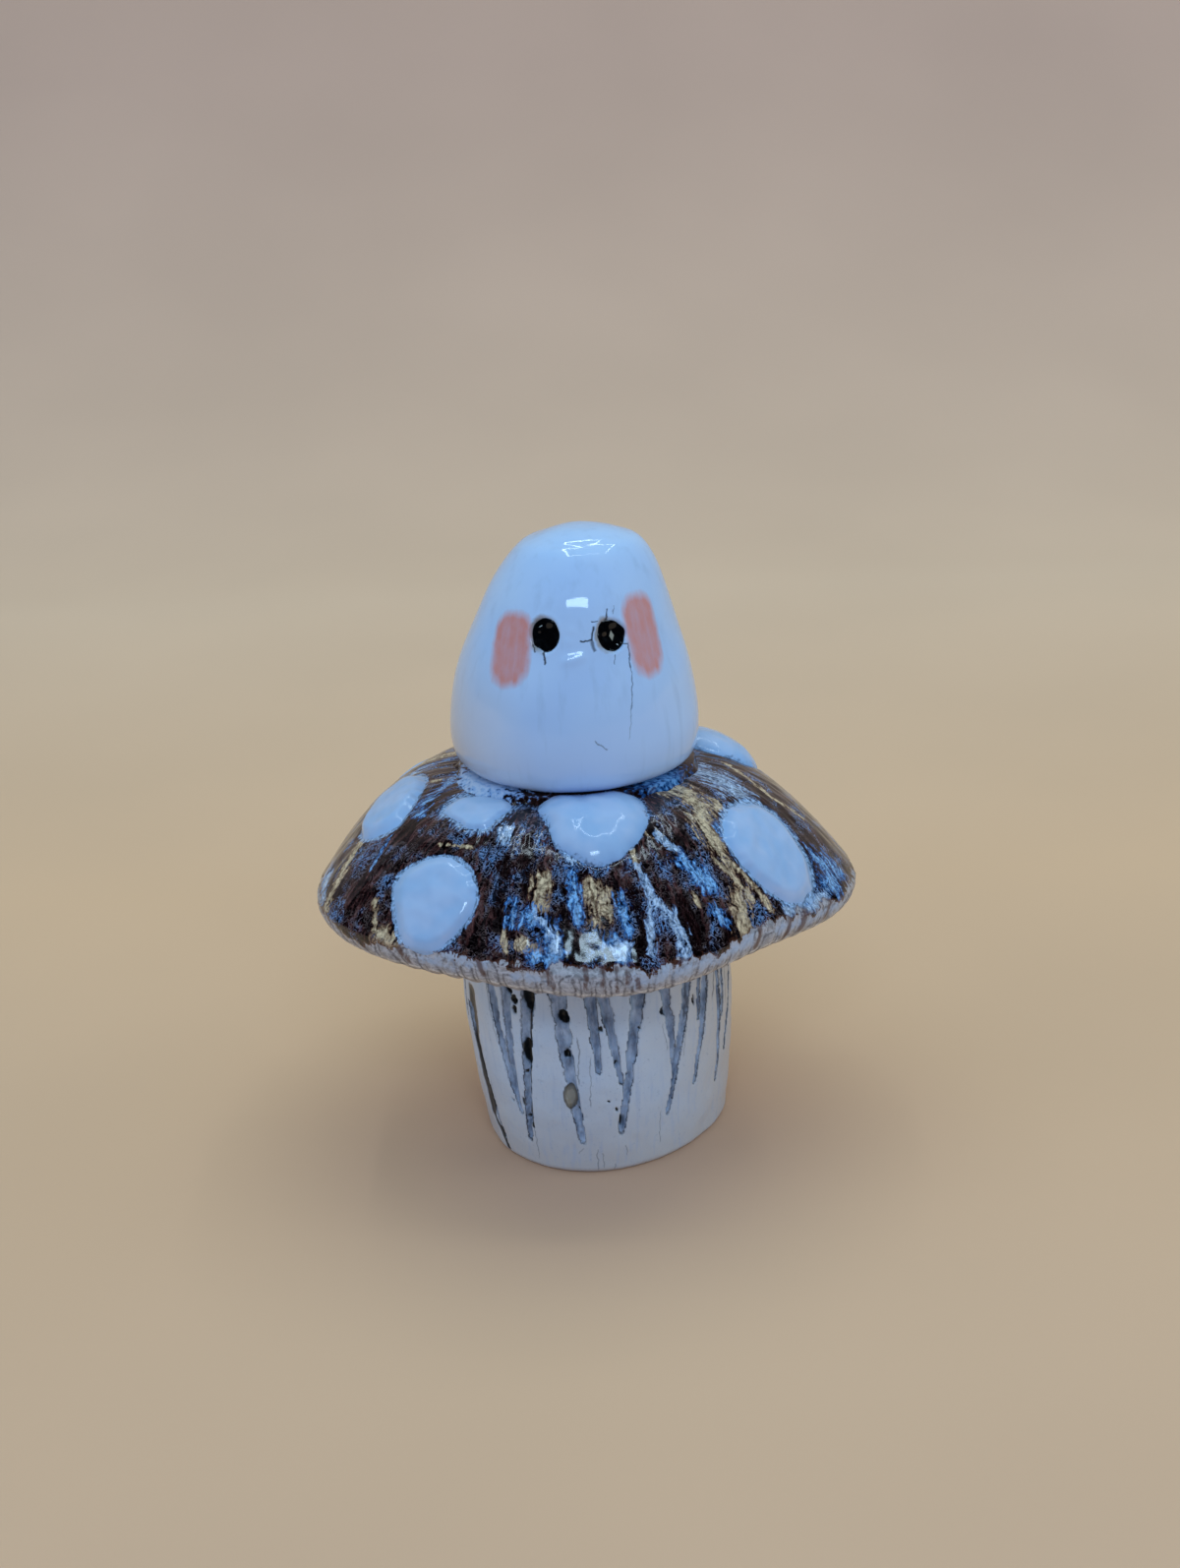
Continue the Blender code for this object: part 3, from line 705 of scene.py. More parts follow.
def cap_outline():
    """Half section from the seat's middle, over the dome and the rolled rim, to the underside's middle."""
    outline = [(0, CAP_SEAT), (0.5 * CAP_SEAT_RADIUS, CAP_SEAT)]
    for share in np.linspace(0, 1, DOME_RINGS + 1):
        outline.append((CAP_SEAT_RADIUS + (CAP_RADIUS - CAP_SEAT_RADIUS) * share,
                        CAP_SEAT - (CAP_SEAT - CAP_WIDEST) * share ** DOME_POWER))
    for sine, cosine in quarter_turn(RIM_RINGS)[1:]:
        outline.append((CAP_RADIUS - RIM_ROLL * (1 - cosine), CAP_WIDEST - RIM_BAND * sine))
    reaches = np.linspace(CAP_RADIUS - RIM_ROLL, GILL_START, UNDER_RINGS + 1)
    for reach, (sine, _) in zip(reaches[1:], quarter_turn(UNDER_RINGS)[1:]):
        outline.append((reach, RIM_EDGE + (CAP_UNDERSIDE - RIM_EDGE) * sine))
    return outline + [(0.5 * GILL_START, CAP_UNDERSIDE), (0, CAP_UNDERSIDE)]


CAP_OUTLINE = np.array(cap_outline())
CAP_RUNS = np.concatenate([[0], np.cumsum(np.hypot(*np.diff(CAP_OUTLINE, axis=0).T))]) - CAP_SEAT_RADIUS
RIM_START_RUN = CAP_RUNS[DOME_RINGS + 2]
print("the dome runs %.1f mm down from its seat" % (RIM_START_RUN / MM))


# %% From the glaze map to a place on the cap
def press_cap(places):
    """Wobble of the cap, which grows from nothing on the seat to its full size at the rim."""
    radius, bearing = polar(places)
    rim_share = (radius ** 2 - CAP_SEAT_RADIUS ** 2) / (CAP_RADIUS ** 2 - CAP_SEAT_RADIUS ** 2)
    rim_share = np.clip(rim_share, 0, None)
    height = places[:, 2] + rim_share * wave_sum(CAP_LIFT, bearing)
    pressed = at_polar(radius * (1 + rim_share * wave_sum(CAP_SWELL, bearing)), bearing, height)
    pressed[:, 0] += CAP_SHIFT
    return pressed


def on_map(run, bearing):
    """Flat map of the dome, in metres: the slope unrolled round the seat's middle."""
    return at_polar(run + CAP_SEAT_RADIUS, bearing, 0)[..., :2]


def map_surface(spots, height):
    """Places over points of the map, at a height square to the clay."""
    def clay(points):
        reach, bearing = polar(points)
        upper = slice(DOME_RINGS + 3 + RIM_RINGS)
        run = reach - CAP_SEAT_RADIUS
        radius, level = (np.interp(run, CAP_RUNS[upper], side) for side in CAP_OUTLINE[upper].T)
        return press_cap(at_polar(radius, bearing, level))
    normal = np.cross(*(clay(spots + step) - clay(spots - step) for step in np.eye(2) * MAP_STEP))
    return clay(spots) + normal * (height / np.linalg.norm(normal, axis=1))[:, None]


def brushed(map_places, strokes):
    """How far each place lies inside a brush stroke: 1 on a middle line, 0 at an edge, -1 well outside."""
    inside = -1
    for width, *route in strokes:
        route = [on_map(run * MM, bearing) for bearing, run in zip(route[::2], route[1::2])]
        for start, end in zip(route, route[1:]):
            inside = np.maximum(inside, 1 - line_gap(map_places - start, end - start) / (width * MM / 2))
    return inside


# %% [markdown]
# ### The white pads
#
# Each pad is a pat of white clay pressed on the dome and glazed white, so its edge sinks into the
# brown. An outline of a few knots, in millimetres down the slope and across it, gives each its
# own shape on the glaze map. A turned button is stretched to that outline and laid over the dome.

# %% The pads and their outlines
# For each pad: bearing and run in mm of its middle, thickness in mm, then the knots (down, across)
# in mm of its outline
PADS = {
    "spot_front": (-84, 5.7, 1.65, (
        (-6.6, -4.3), (-6.2, 0), (-6.6, 4.6), (-3.4, 6.3), (0.3, 6.4), (3.4, 4.8), (5.6, 2.2), (6.3, -0.2),
        (5.1, -2.4), (3.4, -4.4), (0, -4.9), (-3.6, -5.6))),
    "spot_front_left": (-124, 18.6, 0.65, (
        (-5.8, 0), (-4.6, 2.7), (-1.9, 4.7), (0.9, 4.9), (3.9, 3.8), (6, 2), (6.8, -0.6), (6, -3.2),
        (3.2, -5), (0.2, -6.4), (-2.4, -6.7), (-4.4, -4.8), (-5.6, -2.4))),
    "spot_upper_left": (-127, 6.2, 0.5, (
        (-4.7, -1.2), (-4.6, 1.4), (-2.9, 2.8), (-0.6, 2.6), (1.7, 2.5), (2.7, 0.3), (1.9, -1.5),
        (1.5, -3.2), (0.4, -4.8), (-1.6, -5.3), (-3.4, -4.2))),
    "spot_left": (-167, 10.7, 0.9, (
        (-5.3, -3), (-4.4, 1.2), (-2.6, 4.5), (-0.4, 6.9), (2.2, 6.8), (4.4, 4.6), (5, 1.6), (3, -1.6),
        (0.8, -4), (-1.6, -5.2), (-4, -5.6))),
    "spot_right": (-32, 16, 0.75, (
        (-7, 1.2), (-6.6, 4.6), (-4.6, 6.6), (-1, 6.8), (2.6, 6.4), (5.8, 4.6), (7.8, 1.2), (7, -2.2),
        (4.4, -4.4), (1.2, -5.7), (-2.2, -5.6), (-4.8, -4.2), (-6.4, -1.6))),
    "spot_back_right": (28, 7.9, 1.8, (
        (-5.4, -2), (-5.2, 2.4), (-2.6, 5.4), (1, 6.2), (4.4, 4), (5.6, -0.4), (4.2, -4.4), (0.8, -6.2),
        (-3, -5.2))),
    "spot_back": (84, 13.9, 1, (
        (-5.6, -1.2), (-4.8, 3), (-1.6, 5.4), (2.4, 4.8), (5.4, 2.2), (5.8, -1.6), (3, -4.8), (-1.2, -5.2),
        (-4.4, -3.8))),
    "spot_back_left": (140, 17, 1, (
        (-5, 0.6), (-3.4, 4), (0.4, 5), (4, 3.4), (5.2, -0.6), (3.2, -4.2), (-0.8, -4.8), (-4, -3.2))),
}


def pad_frame(name):
    """Middle of a pad on the map, and its directions down and across."""
    bearing, run = PADS[name][:2]
    middle = on_map(run * MM, bearing)
    down = middle / np.linalg.norm(middle)
    return middle, np.array([down, (-down[1], down[0])])


def past_pad(name, map_places):
    """Distance of each place outside a pad's outline, in mm."""
    middle, directions = pad_frame(name)
    distance, angle = polar((map_places - middle) @ directions.T / MM)
    return distance - outline_radius(PADS[name][3], angle)


print("%d pads" % len(PADS))

# %% [markdown]
# ### Brush strokes of glaze
#
# Over the brown the potter trailed a tan and a blue glaze, which ran with it down the slope.
# Each stroke below is a width in mm, then each bearing and run in mm that it passes. The back,
# which no picture shows, carries on the same mixture from a seeded draw.

# %% Where each glaze was trailed
GLAZE_STROKES = {
    "tan": [
        (2.2, -99, 14, -99, 17.4), (1.6, -103, 21.8, -99, 22.4), (0.9, -107, 20.6, -106, 22.9),
        (2.4, -134, 24.4, -130, 24.9), (1.8, -159, 16, -156, 20, -153, 24), (0.8, -139, 20.6, -136, 23.6),
        (0.7, -168, 5, -164, 1), (0.5, -131, 11.8, -121, 11.2), (2, -83, 15.4, -83, 17.4),
        (0.9, -74, 10.4, -73, 13), (3.3, -45, 1.8, -38, 4, -41, 7.4, -47, 10.2, -47, 12.6),
        (1.6, -33, 7.6, -35, 8.6), (1, -48, 12.6, -48, 15, -44, 18, -41, 23),
        (0.8, -51, 14.6, -48, 17.6, -45, 21), (3.4, -49, 20, -51, 23.6),
        (0.8, 2, 6, -6, 8.8, -9, 11.6, -6, 15.6), (0.9, -61, 17.6, -61, 18.8), (2, -86, 14.4, -86, 18.6),
        (0.6, -69, 6.5, -66, 9.5),
    ],
    "blue": [
        (1.8, -173, 1.5, -158, 4.3, -152, 7.4, -147, 9.1), (3, -101, 18.6, -97, 19.6, -95, 22.6),
        (1.6, -91, 12.4, -91, 15.4, -90, 18.4), (1.9, -80, 16, -79, 19.6),
        (1.4, -62, 0.4, -36, 0.3, -14, 1.2), (2.3, -61, 13, -58, 15.4, -56, 17.2), (1.7, -58, 20.2, -55, 22),
        (1.3, -43, 10.8, -43, 12.6), (3.4, -17, 19.5, -12, 22.4, -22, 23.3), (3, -168, 21.6, -160, 23.6),
        (2, -100, 23, -94, 23.4), (2.6, -83, 21, -81, 22.6), (1.6, -106, 17, -106, 19.6),
        (0.5, -149, 13, -146, 17.5),
    ],
    "milk": [
        (1, -73, 12.6, -72, 16.5, -69, 18.6), (2, -69, 19, -67, 21.8, -68, 24.6),
        (1.1, -73, 17.6, -75, 22.6), (4.4, -13, 3.3, -16, 5.9, -20, 8.4), (2.4, -159, 1.2, -150, 1.6),
        (2.4, -36, 23.6, -28, 24.2, -22, 23.6), (1.8, -156, 0.6, -142, 1.2, -132, 2.6),
        (2, -115, 7.6, -113, 9.2), (1.4, -99, 18.6, -96, 20, -95, 21.6), (1.6, -83, 21.6, -79, 21.9),
        (1.2, -64, 9, -61, 12), (2, -164, 22, -157, 24), (1.6, -93, 9.6, -91, 11.2),
    ],
    "snow": [
        (1.8, -79, 25.6, -70, 25.4, -62, 25.7, -50, 25.4), (1.4, -41, 25.6, -30, 25.9, -16, 25.6),
        (1.4, -125, 26, -118, 26.2), (1.6, -119, 24.7, -111, 24.9), (1.2, -104, 25.6, -98, 25.8),
        (1.6, 30, 25.6, 52, 25.8), (1.6, 96, 25.7, 122, 25.4),
    ],
    "rust": [
        (0.6, -89, 23.6, -89, 26.2), (0.7, -85.5, 23.6, -85.5, 26.6), (0.5, -82.5, 23.8, -82.5, 26.8),
        (0.8, -78.5, 25.4, -78, 26.4), (0.7, -80.5, 24.4, -80.5, 25.6), (1.2, -36, 24.6, -37, 27),
        (1.2, -31, 24.6, -32, 26.6), (1.5, -22, 24.6, -24, 26.4), (1.1, -46, 23.8, -47.5, 26.4),
        (0.9, -97, 24.2, -96, 26.4), (1, -130, 24.4, -128, 26.6), (0.9, -112, 24.6, -111, 26.2),
        (0.8, 60, 24.2, 61, 26), (0.8, 112, 24.4, 112, 26.2),
    ],
    "black": [
        (2.4, -66, 24, -60, 24.3, -55, 23.4), (1.5, -104, 10, -103, 15.2),
        (1.4, -94, 14.6, -93, 18, -92, 23), (1.8, -76, 15.4, -76, 19, -78, 23.4), (2.4, -64, 18.6, -64, 22),
        (2.4, -122, 3, -108, 1.6, -100, 1.2), (2, -110, 12, -109, 18),
        (1.4, -1, 4, -8, 8.4, -13, 13, -12, 18.5),
    ],
}
# Reach in mm of the milky edge that bleeds out of most pads, and of some, into the brown
HALO_WIDTH = 0.3
HALO_WIDTHS = {"spot_front": 0.4, "spot_upper_left": 1.9, "spot_right": 0.8, "spot_left": 0.5,
               "spot_back": 0.7}
BACK_START, BACK_END = 12, 178
BACK_STROKES = {"tan": 16, "blue": 14, "milk": 9, "black": 9}


def trail_back(draw):
    """A stroke on the far side: it starts anywhere on the dome and runs down the slope."""
    bearing, run = draw.uniform(BACK_START, BACK_END), draw.uniform(1, 19)
    length = draw.uniform(2, 9)
    width = draw.uniform(0.8, 2.8)
    return width, bearing, run, bearing + draw.uniform(-4, 4), min(24, run + length)


back_draw = np.random.default_rng(7)
for kind, count in BACK_STROKES.items():
    GLAZE_STROKES[kind] += [trail_back(back_draw) for _ in range(count)]
print({kind: len(strokes) for kind, strokes in GLAZE_STROKES.items()})


# %% The glaze line and the looped rim
# Run in mm at which the glaze ends, and waves in it: count round, size in mm, bearing of a crest
GLAZE_LINE = 24.2
GLAZE_LINE_WAVES = ((1, 0.35, -150), (3, 0.45, -20), (5, 0.35, -60), (9, 0.30, -66))
# Runs that crept over the rim: bearing, reach past the glaze line in mm, width in mm
DRIPS = (
    (-137, 0.7, 3.6), (-99, 0.7, 3.6), (-85, 0.7, 2.4), (-76, 0.9, 2.2), (-58, 0.7, 4), (-36, 0.8, 1.8),
    (-29, 0.9, 1.8), (-18, 0.9, 3), (20, 0.9, 2.5), (47, 0.9, 2.2), (75, 0.8, 3.4), (104, 1, 2),
    (131, 1, 2.6), (163, 1, 2.4),
)
# Round-ended loops pressed side by side along the rim with a small tube: how many, their radius
# and the run of their ends in mm, and waves (count round, size, start) that shift and lift them
LOOP_COUNT, LOOP_RADIUS, LOOP_TOP_RUN = 93, 0.74, 25.9
LOOP_PITCH = math.tau * CAP_RADIUS / MM / LOOP_COUNT
LOOP_SHIFTS = ((7, 0.22, 0), (13, 0.20, 40), (29, 0.12, 0))
LOOP_LIFTS = ((17, 0.35, 0), (41, 0.35, 70))
# Runs between which the loops rise out of the glaze, sink into the underside, and the gills rise
LOOPS_RISE, LOOPS_SINK = (23.8 * MM, 25.2 * MM), (28.6 * MM, 27.4 * MM)
GILLS_RISE = (27 * MM, 31 * MM)
# Half width of the soft edge of the glaze
GLAZE_EDGE = 0.35 * MM
# Bumps, each with a height, a size in mm and a seed: the rags of the glaze line, the grain of the
# cap's skin, and the ridges, which lie along the flow because it is first squeezed by a share
LINE_RAGS = ((1, 1.1, 1), (0.7, 0.5, 2))
SKIN_GRAIN = (0.010 * MM, 0.8, 5)
RIDGES = ((0.22, (1, 1.3, 3)), (0.3, (0.5, 0.6, 4)))


def glaze_reach(bearing, ragged):
    """Run at which the glaze ends, at each bearing."""
    reach = (GLAZE_LINE + wave_sum(GLAZE_LINE_WAVES, bearing) + 0.35 * ragged) * MM
    for middle, length, width in DRIPS:
        across = np.radians(turn_between(bearing, middle)) * CAP_RADIUS / (width * MM / 2)
        reach = reach + length * MM * np.exp(-across ** 2)
    return reach


def rim_loops(run, bearing):
    """Turn round its loop, as cosine and sine, and mm past the loop's round end, for each place."""
    shift, lift = (sum(size * np.sin(np.radians(count * bearing + start)) for count, size, start in waves)
                   for waves in (LOOP_SHIFTS, LOOP_LIFTS))
    phase = math.tau * (LOOP_COUNT * bearing / 360 + shift)
    return np.column_stack([np.cos(phase), np.sin(phase), run / MM - LOOP_TOP_RUN - lift])


def loop_bulge(loops):
    """1 inside a loop and 0 outside it, with a soft edge."""
    across = np.arctan2(loops[:, 1], loops[:, 0]) / math.tau * LOOP_PITCH
    return smooth_step(LOOP_RADIUS + 0.2, LOOP_RADIUS - 0.2, np.hypot(across, np.minimum(loops[:, 2], 0)))


def make_cap_mesh():
    """Turns the cap, runs its glaze and presses its rim and gills."""
    mesh, plain, radius, bearing = turned("glazed_cap", CAP_OUTLINE.tolist(), CAP_STEPS)
    run = vertex_values(mesh, "run", 1) - CAP_SEAT_RADIUS
    map_places = on_map(run, bearing)
    past = {name: past_pad(name, map_places) for name in PADS}
    flow = np.column_stack([at_polar(CAP_RADIUS, bearing, 0)[:, :2], run]) / MM
    bare = run - glaze_reach(bearing, bumps(flow, *LINE_RAGS))
    glazed = smooth_step(GLAZE_EDGE, -GLAZE_EDGE, bare)
    sunk = np.maximum.reduce([smooth_step(0.5, -0.3, gap) for gap in past.values()])
    halo = np.maximum.reduce([np.clip(1 - gap / HALO_WIDTHS.get(name, HALO_WIDTH), 0, 1.5)
                              for name, gap in past.items()])
    ridges = sum(bumps(flow * (1, 1, squeeze), ridge) for squeeze, ridge in RIDGES)
    loops = rim_loops(run, bearing)
    on_rim = smooth_step(*LOOPS_RISE, run) * smooth_step(*LOOPS_SINK, run)
    inward = (radius - GILL_START) / (CAP_RADIUS - GILL_START)
    gill = (1 - np.cos(GILL_COUNT * np.radians(bearing))) / 2 * np.sqrt(np.sin(np.pi * np.clip(inward, 0, 1)))
    under = (run > RIM_START_RUN) & (inward > 0)
    plain[:, 2] += np.where(under, GILL_DEPTH * gill * smooth_step(*GILLS_RISE, run), 0)
    move_vertices(mesh, press_cap(plain))
    relief = (glazed * (GLAZE_THICKNESS + RIDGE_HEIGHT * ridges) + bumps(flow, SKIN_GRAIN)
              + LOOP_HEIGHT * loop_bulge(loops) * on_rim * (1 - 0.6 * glazed) - PAD_DENT * sunk)
    move_vertices(mesh, vertex_values(mesh) + vertex_values(mesh, "normal") * relief[:, None])
    strokes = {kind: 0.5 + 0.5 * brushed(map_places, trailed) for kind, trailed in GLAZE_STROKES.items()}
    paint(mesh, **strokes, halo=halo, bare=bare / MM, loops=loops, flow=flow)
    return mesh


cap_mesh = make_cap_mesh()
print("cap mesh has %d vertices" % len(cap_mesh.vertices))

# %% [markdown]
# ### Running glaze
#
# The brown is a tenmoku-like glaze, glass full of iron: near black where thick, rust brown where
# thin. Noise stretched along the flow gives its streaks, and a grain of a third of a millimetre
# its crystals, whose light curls also stand for painted glints of the lamps. The painted strokes
# are torn by the same noises, so their edges run too. Below the glaze line the clay is bare,
# rough and pale.

# %% The cap's finish
# How strongly the streaks, the threads and the curls tear an edge
TEARS = (2.5, 1.0, 0.7)
# For each glaze: where its torn stroke begins and is full, its cover, how much of it a dark vein
# leaves, and its tones from thin to thick
GLAZES = {
    "black": (0.5, 0.75, 0.95, 0.6, {0.5: "140607", 0.9: "070203"}),
    "tan": (0.36, 0.6, 0.95, 0.58, {0.36: "2E1612", 0.5: "6A4834", 0.7: "A28870", 0.98: "D0B698"}),
    "blue": (0.38, 0.62, 0.95, 0.3, {0.38: "0E1024", 0.52: "1C345E", 0.72: "3A6AA8", 1: "7CACE0"}),
    "milk": (0.42, 0.62, 0.9, 0.4, {0.42: "3A4A6E", 0.62: "748EB8", 0.95: "AEC0DE"}),
    "halo": (0.55, 1, 0.85, 0.35, {0.55: "24406E", 0.8: "5E88C0", 1.1: "98B4DC"}),
}


def off_level(add, value, level):
    """How far a value lies from a level, either way."""
    above = add("Math SUBTRACT", value, level)
    return add("Math ABSOLUTE", above)


def torn_stroke(add, name, tears):
    """A painted stroke with the tears added where it lies, and not well away from it."""
    stroke = add("Attribute", out="Fac", attribute_name=name)
    near = add("MapRange", stroke, 0.02, 0.35)
    return add("Math MULTIPLY_ADD", tears, near, stroke)


def rim_clay(add, flow, push, threads, curls):
    """Bare mottled clay down the rim, with a thin grey outline round each pressed loop."""
    run = add("SeparateXYZ", flow, out=2)
    down_rim = add("MapRange", run, 24, 30)
    tones = {0: "9C98A2", 0.3: "A8A6B0", 0.5: "A2A0AA", 0.56: "CCCACE", 0.64: "A8A4AA", 1: "B0ABAE"}
    clay = add("ValToRGB", down_rim, stops=tones)
    mottle = add("MapRange", curls, 0.36, 0.62, 0.64, 1.26)
    mottled = add("VectorMath SCALE", clay, Scale=mottle)
    # The outline lies where the distance from the loop's own middle is its radius
    cosine, sine, past = add("SeparateXYZ", add("Attribute", out="Vector", attribute_name="loops"), out=None)
    turn = add("Math ARCTAN2", sine, cosine)
    sideways = add("Math MULTIPLY", turn, LOOP_PITCH / math.tau)
    offset = add("CombineXYZ", sideways, add("Math MINIMUM", past, 0))
    bent = add("VectorMath MULTIPLY_ADD", push, (0.4, 0.4, 0.4), offset)
    off_loop = off_level(add, add("VectorMath LENGTH", bent, out=1), LOOP_RADIUS)
    room = add("MapRange", threads, 0.40, 0.56, 0.36, 0.90)
    # Scratches and thin runs of glaze cross the rim
    return layered(add, mottled, [
        (off_loop, 0.20, 0.04, room, "56525A"), (threads, 0.60, 0.72, 0.5, "5E5A62")])


def cap_material():
    """Dark brown running glaze with tan and blue breaks over a bare rim."""
    material, add = new_material("running_iron_glaze")
    flow = add("Attribute", out="Vector", attribute_name="flow")
    # Eddies of three millimetres push the runs sideways, so no streak is straight
    swirled, push = shaken(add, flow, 3, 2.4)
    pools = add("TexNoise", Vector=swirled, Scale=1 / 3.4, Detail=3)
    streaks, threads = (
        add("TexNoise", Vector=add("Mapping", swirled, Scale=(1, 1, squeeze)), Scale=1 / size,
            Detail=detail, Roughness=0.6)
        for squeeze, size, detail in ((0.14, 0.70, 4), (0.45, 0.36, 3)))
    place = add("TexCoord", out="Object")
    curls = add("TexNoise", Vector=place, Scale=1 / (0.80 * MM), Detail=2, Distortion=1.8)
    brown = add("ValToRGB", streaks, stops={0.42: "060204", 0.5: "190A0D", 0.59: "402423", 0.71: "68484A"})
    cool = add("MapRange", pools, 0.48, 0.60)
    haze_room = add("Math MULTIPLY", cool, 0.9)
    haze = add("MapRange", threads, 0.46, 0.64, 0, haze_room)
    breath = add("ValToRGB", haze, stops={0.15: "242240", 0.55: "2E466E", 0.9: "5480B8"})
    # Crystals grow in curls a third of a millimetre wide: thin light lines along one level of a noise, which
    # also stand for painted glints of the lamps on the glaze's fine ripples
    off_curl = off_level(add, curls, 0.5)
    curl_room = add("MapRange", pools, 0.40, 0.56, 0.085, 0.85)
    crystals_and_glints = layered(add, "7C6868", [(cool, 0, 1, 1, "7A90BC")])
    layers = [(haze, 0, 1, 1, breath), (off_curl, 0.06, 0.01, curl_room, crystals_and_glints)]
    # The same noises tear the edge of every brush stroke, most of all along the flow
    tears = -0.5 * sum(TEARS)
    for noise, strength in zip((streaks, threads, curls), TEARS):
        tears = add("Math MULTIPLY_ADD", noise, strength, tears)
    # Threads of the brown rise through every other glaze as dark veins
    off_vein = off_level(add, threads, 0.47)
    for name, (start, full, cover, vein, stops) in GLAZES.items():
        torn = torn_stroke(add, name, tears)
        left = add("MapRange", off_vein, 0, 0.07, vein * cover, cover)
        layers.append((torn, start, full, left, add("ValToRGB", torn, stops=stops)))
    grain = add("MapRange", curls, 0.36, 0.60, 0.55, 1.20)
    glaze = add("VectorMath SCALE", layered(add, brown, layers), Scale=grain)
    bare = add("Math MULTIPLY_ADD", tears, 0.8, add("Attribute", out="Fac", attribute_name="bare"))
    snow, rust = (torn_stroke(add, name, tears) for name in ("snow", "rust"))
    rim = layered(add, rim_clay(add, flow, push, threads, curls), [
        (snow, 0.38, 0.85, 0.75, "AAB6D0"), (rust, 0.38, 0.85, 0.80, "4A261C")])
    base = layered(add, glaze, [(bare, -0.50, -0.08, 0.70, "5A3426"), (bare, -0.10, 0.10, 1, rim)])
    gloss = add("MapRange", bare, -0.10, 0.10, 0.10, 0.38)
    fine = add("Math ADD", threads, curls)
    end_material(add, base, gloss, (fine, 0.07, 0.05 * MM))
    return material


finish_piece("glazed_cap", cap_mesh, cap_material(), "cap")

# %% Making the pads
PAD_STEPS, PAD_RINGS = 132, 26
PAD_SINK = 0.12 * MM
# Lumps on top of a pad and rags of its edge: height, size in mm and seed
PAD_LUMPS, PAD_RAGS = (0.05 * MM, 1.6, 6), (0.14, 1.3, 11)
# A pad thicker than this in mm is round on top, and a thinner one is flat
ROUND_THICKNESS = 1.2
# The edge of a pad dips into the glaze, so its mesh is drawn this much larger
EDGE_ROOM = 1.04


def drop_height(share):
    """Height share of a round drop at a share of its radius."""
    return (1 - share ** 3) ** 0.85


def make_pad_mesh(name):
    """A turned button stretched to the pad's outline and laid over the dome, round if it is thick."""
    button = [(share, drop_height(share)) for share in np.linspace(0, 1, PAD_RINGS + 1)]
    mesh, plain, share, angle = turned(name, button + [(0.985, -0.02), (0.5, -0.02), (0, -0.02)], PAD_STEPS)
    _, run, thickness, knots = PADS[name]
    middle, directions = pad_frame(name)
    ragged = bumps(at_polar(7, angle, 10 * run), PAD_RAGS) * smooth_step(0.6, 1.0, share)
    reach = (outline_radius(knots, angle) * share * EDGE_ROOM + ragged) * MM
    map_places = middle + at_polar(reach, angle, 0)[:, :2] @ directions
    level = plain[:, 2]
    lumps = bumps(np.column_stack([map_places / MM, level]), PAD_LUMPS) * np.clip(level, 0, 1)
    inside = np.clip(share, 0, 1)
    crown = drop_height(inside) if thickness > ROUND_THICKNESS else smooth_step(1, 0.66, inside)
    height = np.where(level < 0, -3 * PAD_SINK, crown * (thickness * MM + PAD_SINK) - PAD_SINK + lumps)
    move_vertices(mesh, map_surface(map_places, height))
    paint(mesh, edge=share)
    return mesh


def pad_material():
    """Thick white glaze: glassy and bluish white, a little bluer and ragged where it thins at the edge."""
    material, add = new_material("thick_white_glaze")
    place = add("TexCoord", out="Object")
    clouds = add("TexNoise", Vector=place, Scale=1 / (3.2 * MM), Detail=2)
    fine = add("TexNoise", Vector=place, Scale=1 / (0.55 * MM), Detail=4)
    edge = add("Attribute", out="Fac", attribute_name="edge")
    body = add("ValToRGB", clouds, stops={0.36: "97B1D9", 0.64: "A6B8DC"})
    brink = add("Math MULTIPLY_ADD", fine, 0.42, edge)
    patchy = add("MapRange", clouds, 0.42, 0.58, 0.1275, 0.85)
    base = layered(add, body, [(edge, 0.78, 1, 0.7, "82A8DA"), (brink, 1.14, 1.24, patchy, "32405E")])
    end_material(add, base, 0.12, (clouds, 0.30, 0.4 * MM))
    return material


white_glaze = pad_material()
for pad_name in PADS:
    finish_piece(pad_name + "_pad", make_pad_mesh(pad_name), white_glaze, pad_name)

# %% [markdown]
# ## The ghost
#
# The ghost is an egg of white clay with a flat foot, pressed a little square at one shoulder. Its
# eyes were pierced with a stick, which tore the clay into short cracks, and filled with black
# glaze. Two strokes of pink underglaze make the cheeks. The egg is turned fine enough for the
# eye holes to be pressed into the same mesh, with a soft glazed lip.

# %% Sizes of the ghost
GHOST_HEIGHT = 28 * MM
GHOST_RADIUS = 14.75 * MM
GHOST_SHIFT = -1.7 * MM
GHOST_LEAN = 1.4 * MM
GHOST_BOW = -0.5 * MM
GHOST_BASE = CAP_SEAT + CLAY_GAP + SLIP_THICKNESS + CLAY_GAP
# Radius and height shares down the egg's side
GHOST_OUTLINE = (
    (0, 1), (0.17, 0.993), (0.34, 0.965), (0.49, 0.92), (0.668, 0.78), (0.807, 0.6), (0.935, 0.4), (1, 0.2),
    (0.98, 0.065), (0.9, 0.012), (0.79, 0),
)
GHOST_STEPS, GHOST_SPAN_RINGS = 408, 20
GHOST_CURVE = np.array(smooth_curve(GHOST_OUTLINE, GHOST_SPAN_RINGS)) * (GHOST_RADIUS, GHOST_HEIGHT)
EYE_DEPTH, EYE_GLAZE_DEPTH, LIP_HEIGHT = 1.1 * MM, 0.35 * MM, 0.05 * MM
# An eye marks only the clay this near to its own plane, and not the far side of the egg
EYE_ROOM = 3 * MM
# Shares of the way to a hole's edge: its wall, and the middle and spread of the lip round it
HOLE_WALL = (1.12, 0.86)
LIP_MIDDLE, LIP_SPREAD = 1.22, 0.16
# Bumps that a hand left, and fine ones in the glaze: height, size and seed
GHOST_BUMPS = ((0.05 * MM, 5 * MM, 7), (0.003 * MM, 1.2 * MM, 8))
